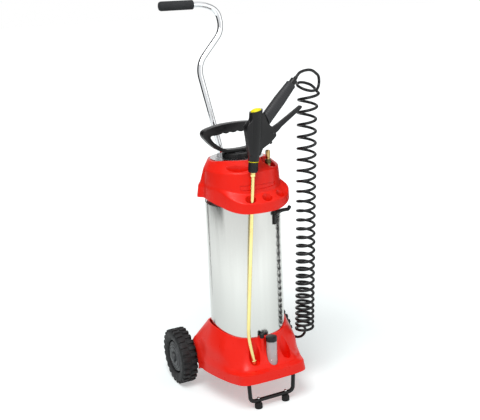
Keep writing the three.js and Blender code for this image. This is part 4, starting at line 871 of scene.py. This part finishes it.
lever_slot = sawn([(36, 64), (44, 58), (76, 56), (76, 120), (39, 84), (35, 74)], 11.8)
cap_place = Matrix.Translation(own(0, 0, 125)) @ turned(-18, "Y")
slant = round_bar(50, (0, 0, 0), (0, 0, 40), place=own)
recess = round_bar(14, (0, 0, -5), (0, 0, 1), 64, own)
for tool in (slant, recess):
    tool.data.transform(cap_place)
hinge_x, hinge_z = 46, 70
button_spot, button_way = Vector((43, 0, 48.5)), Vector((0.731, 0, -0.682))
worked(barrel, "UNION", flank)
cut(barrel, slant, recess, lever_slot,
    round_bar(2.8, (hinge_x, -24, hinge_z), (hinge_x, 24, hinge_z), 20, own),
    round_bar(4.4, button_spot - 14 * button_way, button_spot + 20 * button_way, 24, own))
on_gun(shaded(barrel, 40), "gun_body", "chassis", "black_plastic", black_plastic, "valve_body")
cap = spun([(0, -4.7), (13.7, -4.7), (13.7, 0.4), (13.2, 1.5), (12, 2.6), (11.3, 2.4), (10.4, 2.8),
            (9.8, 3.7), (7, 4.7), (4, 5.3), (0, 5.5), (0, -4.7)], 64)
cap.data.transform(cap_place)
on_gun(cap, "gun_cap", "chassis", "yellow_plastic", yellow_plastic, "valve_cap")
grip_run, grip_turn = 100.85, Matrix.Rotation(math.atan2(61.4, 80), 4, "Y")
grip_profile = [(0, -22), (15.9, -22), (15.9, -5)]
for i in range(19):
    at, full = -4.8 + i * 5.2, 15.9 - max(0, i - 10) * 0.28
    grip_profile += [(full, at), (full, at + 2.9), (full - 0.7, at + 3.5), (full - 0.7, at + 4.6)]
grip_profile += [(13.5, 96), (13.3, 99.4), (12, grip_run), (0, grip_run), (0, -22)]
grip = spun(grip_profile, 48)
grip.data.transform(Matrix.Diagonal((1, 0.82, 1, 1)))
grip.data.transform(Matrix.Translation(own(33.8, 0, 110.8)) @ grip_turn)
cut(grip, sawn([(-30, 60), (-30, 120.6), (20.5, 120.6), (34.6, 91.4), (41, 60)], 60),
    round_bar(16.8, (0, 0, 60), (0, 0, 145), 64, own))
on_gun(shaded(grip, 30), "gun_handle", "chassis", "black_plastic", grip_plastic, "gun_grip")
gland = spun([(0, 0.3), (9, 0.3), (9, 12.6), (8.2, 13.6), (6, 14.2), (5.4, 15.4), (5, 18), (4.6, 22),
              (0, 22), (0, 0.3)], 48)
gland.data.transform(Matrix.Translation(own(95.2, 0, 190.8)) @ grip_turn)
on_gun(gland, "hose_gland", "chassis", "black_plastic", black_plastic, "hose_sleeve")
lever_run, lever_rise = 81.6, 66.3
lever_length = math.hypot(lever_run, lever_rise)
lever = sawn([(-4, -6.5), (14, -7.5), (22, -6.6), (30, -5.2), (lever_length - 8, -4.4),
              (lever_length - 1, -3), (lever_length, 1), (lever_length - 3, 4.6), (lever_length - 18, 5),
              (30, 7.6), (12, 9.6), (2, 10.4), (-4, 7.6), (-7.5, 0)], 11)
eased(lever, 1.8, 3, 25)
cut(lever, round_bar(2.9, (0, -24, 0), (0, 24, 0), 24, own))
to_hinge = Matrix.Translation(own(hinge_x, 0, hinge_z))
lever.data.transform(to_hinge @ Matrix.Rotation(-math.atan2(lever_rise, lever_run), 4, "Y"))
on_gun(shaded(lever, 40), "lever", "trigger", "black_plastic", black_plastic, "trigger_lever")
dull_steel = finish("pin_steel", (70, 70, 72), (50, 50, 52), 0.5, metal=1.0)
pin = spun([(0, -13), (2.1, -13), (2.5, -12.6), (2.5, 12.6), (2.1, 13), (0, 13), (0, -13)], 24)
pin.data.transform(to_hinge @ turned(90, "X"))
on_gun(pin, "hinge_pin", "chassis", "stainless", dull_steel, "lever_pin")
button = spun([(0, -9), (4, -9), (4, 5.8), (3.4, 6.7), (2.6, 7), (0, 7), (0, -9)], 32)
button.data.transform(Matrix.Translation(own(*button_spot)) @ along(button_way))
on_gun(button, "safety_button", "trigger_lock", "black_plastic", black_plastic, "lock_button")

# ---------------------------------------------------------------- relief valve
# A turned brass valve in the well: a grooved ring of a darker brass, and a plain cap that is
# pulled up to let the air out.
valve_brass = finish("worn_brass", (206, 176, 118), (164, 138, 90), 0.3, metal=1.0, grain=500, relief=0.06)
dark_brass = finish("dark_brass", (112, 104, 70), (78, 72, 48), 0.42, metal=1.0, grain=700, relief=0.12)
kept("relief_body", valve_brass)
ring_profile = [(4.3, 640), (8.2, 640)]
groove = [(8.2, 640.5), (8.2, 641.4), (7.8, 641.8), (7.8, 642)]
for i in range(5):
    ring_profile += [(radius, z + 1.9 * i) for radius, z in groove]
ring_profile += [(8, 650), (4.3, 650), (4.3, 640)]
fitted(moved(spun(ring_profile, 40), *well), "valve_ring", "chassis", "brass", dark_brass, "relief_ring")
cap = spun([(0, 662.3), (2.9, 662.3), (2.9, 650.6), (5.2, 650.6), (5.2, 654.6), (5.8, 655.6), (6.2, 656.6),
            (6.2, 670), (5.8, 672.2), (4.7, 674.1), (2, 674.6), (0, 674.6), (0, 662.3)], 48)
fitted(moved(cap, *well), "valve_knob", "relief_pull", "brass", valve_brass, "relief_cap")

# ---------------------------------------------------------------- hose outlet
# A brass elbow screwed into the tank's wall at the right rear, above the base. Its barbed end
# points down and holds the hose.
stub = round_bar(7, around(120, 99.5, 264), around(120, 117, 264), 6)
barb = spun([(0, -26), (3.4, -26), (4.6, -21), (3.8, -20.6), (3.8, -19), (4.6, -14.6), (3.8, -14.2),
             (3.8, -8), (6.4, -6), (6.4, 6.2), (5.4, 7), (0, 7), (0, -26)], 40)
moved(barb, *around(120, 112, 264))
worked(stub, "UNION", barb)
cut(stub, round_bar(tank_hole, (0, 0, 240), (0, 0, 290), 128))
fitted(shaded(stub), "outlet_elbow", "chassis", "brass", valve_brass, "hose_outlet")

# ---------------------------------------------------------------- nozzle box
# A clear plastic tube with a black screw lid for spare nozzles, dropped in its pocket, and one
# more nozzle in the small socket beside it.
cloudy = finish("cloudy_plastic", (252, 250, 250), (234, 230, 232), 0.2, grain=200,
                sockets={"Transmission Weight": 0.6, "IOR": 1.45})
box = spun([(0, 104.3), (8, 104.3), (12.5, 108.3), (14, 114.3), (14, 180.3), (12.4, 180.3), (12.4, 114.3),
            (10, 109.3), (0, 105.9), (0, 104.3)], 64)
fitted(moved(box, *box_pocket[:2]), "clear_box", "nozzle_tube", "clear_plastic", cloudy, "nozzle_box")
lid = spun([(0, 174.3), (12, 174.3), (12, 180.6), (15, 180.6), (15, 190.5), (14.4, 191.7), (13, 192.3),
            (0, 192.3), (0, 174.3)], 48)
fitted(moved(lid, *box_pocket[:2]), "box_lid", "nozzle_tube_lid", "black_plastic", black_plastic,
       "nozzle_box_lid")
spare = spun([(0, 149), (3, 149), (3, 189), (5.4, 189), (5.9, 189.6), (5.9, 197.6), (5.2, 199),
              (4, 200.6), (1.8, 200.6), (1.4, 199.4), (0, 199.4), (0, 149)], 40)
fitted(moved(spare, *spare_spot), "spare_jet", "chassis", "black_plastic", black_plastic, "spare_nozzle")

# ---------------------------------------------------------------- hose hook
# A black moulded hook under the shelf: a flat leg against the tank and an arm that curves out to
# hold the coiled hose.
arm_z = 516
arm_corners = [around(24, 107.2, arm_z), around(43, 109, arm_z), around(57, 120, arm_z - 5),
               around(60, 124, arm_z + 1)]
arm = bent("arm", rounded_route(arm_corners, (9, 9), 8), 5, 24)
leg = sawn([(-5.5, -31), (5.5, -31), (5.5, 3), (-5.5, 3)], 5)
eased(leg, 1.2, 2, 50)
leg.data.transform(Matrix.Translation(own(0, -102.5, 0)))
leg.data.transform(turned(27, "Z"))
moved(leg, 0, 0, arm_z)
worked(leg, "UNION", arm)
cut(leg, round_bar(tank_hole, (0, 0, 470), (0, 0, 530), 128))
fitted(shaded(leg, 40), "hose_rest", "chassis", "black_plastic", black_plastic, "hose_hook")

# ---------------------------------------------------------------- floor and light
# A white floor in a white world, with a large soft lamp high in front on the left and a weak one
# on the right. The floor glows more further out, and four dark screens show only in shiny or
# clear surfaces.


def ray_is(tree, first, *others):
    # 1 for a ray of one of these kinds, 0 for any other
    path = tree.nodes.new("ShaderNodeLightPath")
    found = path.outputs[first]
    for kind in others:
        either = tree.nodes.new("ShaderNodeMath")
        either.operation = "MAXIMUM"
        tree.links.new(found, either.inputs[0])
        tree.links.new(path.outputs[kind], either.inputs[1])
        found = either.outputs[0]
    return found


bpy.context.scene.view_settings.view_transform = "Standard"
clear()
bpy.ops.mesh.primitive_plane_add(size=60, location=(0, 0, 0))
floor = bpy.context.object
floor.name = "floor"
white = bpy.data.materials.new("studio_white")
white.use_nodes = True
nodes, link = white.node_tree.nodes, white.node_tree.links.new
paper = nodes["Principled BSDF"]
paper.inputs["Base Color"].default_value = (0.75, 0.82, 0.82, 1)
paper.inputs["Roughness"].default_value = 0.9
paper.inputs["Specular IOR Level"].default_value = 0.1
paper.inputs["Emission Color"].default_value = (1, 1, 1, 1)
where, away, ramp, lift = (nodes.new(kind) for kind in (
    "ShaderNodeNewGeometry", "ShaderNodeVectorMath", "ShaderNodeMapRange", "ShaderNodeMath"))
away.operation, lift.operation = "LENGTH", "MULTIPLY"
link(ray_is(white.node_tree, "Is Camera Ray", "Is Glossy Ray"), lift.inputs[0])
link(where.outputs["Position"], away.inputs[0])
link(away.outputs["Value"], ramp.inputs["Value"])
for socket, value in (("From Min", 0.5), ("From Max", 1.8), ("To Min", 0.4), ("To Max", 0.85)):
    ramp.inputs[socket].default_value = value
link(ramp.outputs["Result"], lift.inputs[1])
link(lift.outputs[0], paper.inputs["Emission Strength"])
floor.data.materials.append(white)

world = bpy.data.worlds.new("studio")
bpy.context.scene.world = world
world.use_nodes = True
nodes, link = world.node_tree.nodes, world.node_tree.links.new
soft, plain = nodes["Background"], nodes.new("ShaderNodeBackground")
soft.inputs["Strength"].default_value = 0.36
plain.inputs["Strength"].default_value = 1.0
soft.inputs["Color"].default_value = plain.inputs["Color"].default_value = (1, 1, 1, 1)
blend = nodes.new("ShaderNodeMixShader")
link(ray_is(world.node_tree, "Is Camera Ray", "Is Glossy Ray", "Is Transmission Ray"), blend.inputs[0])
link(soft.outputs[0], blend.inputs[1])
link(plain.outputs[0], blend.inputs[2])
link(blend.outputs[0], nodes["World Output"].inputs["Surface"])


def lamp(name, place, size, power):
    clear()
    bpy.ops.object.light_add(type="AREA", location=place)
    light = bpy.context.object
    light.name = name
    light.data.size, light.data.energy = size, power
    light.rotation_mode = "QUATERNION"
    light.rotation_quaternion = (Vector((0, 0, 0.5)) - Vector(place)).to_track_quat("-Z", "Y")


lamp("key_lamp", (-1.1, -1.4, 3.1), 1.6, 78)
lamp("fill_lamp", (1.6, -2.6, 1.5), 2.0, 12)
dark = bpy.data.materials.new("dark_screen")
dark.use_nodes = True
dark.node_tree.nodes["Principled BSDF"].inputs["Base Color"].default_value = (0.02, 0.02, 0.02, 1)
for name, off, far, wide_foot, wide_head, foot, head in (
        ("screen_left_low", -124, 0.75, 0.03, 0.17, 0.05, 0.6),
        ("screen_right_low", 119, 0.75, 0.06, 0.4, 0.05, 0.62),
        ("screen_left_high", -104, 1.6, 3.2, 3.2, 0.36, 3.2),
        ("screen_right_high", 134, 1.6, 1.1, 1.1, 0.16, 3.2)):
    bearing = turn + math.radians(off)
    out = Vector((math.sin(bearing), -math.cos(bearing), 0))
    across = Vector((0, 0, 1)).cross(out)
    corners = [out * far + across * share * width / 2 + Vector((0, 0, high)) for share, width, high in
               ((-1, wide_foot, foot), (1, wide_foot, foot), (1, wide_head, head), (-1, wide_head, head))]
    screen = mesh_body(name, corners, [(0, 1, 2, 3)])
    screen.data.materials.append(dark)
    screen.visible_camera = screen.visible_shadow = screen.visible_diffuse = False
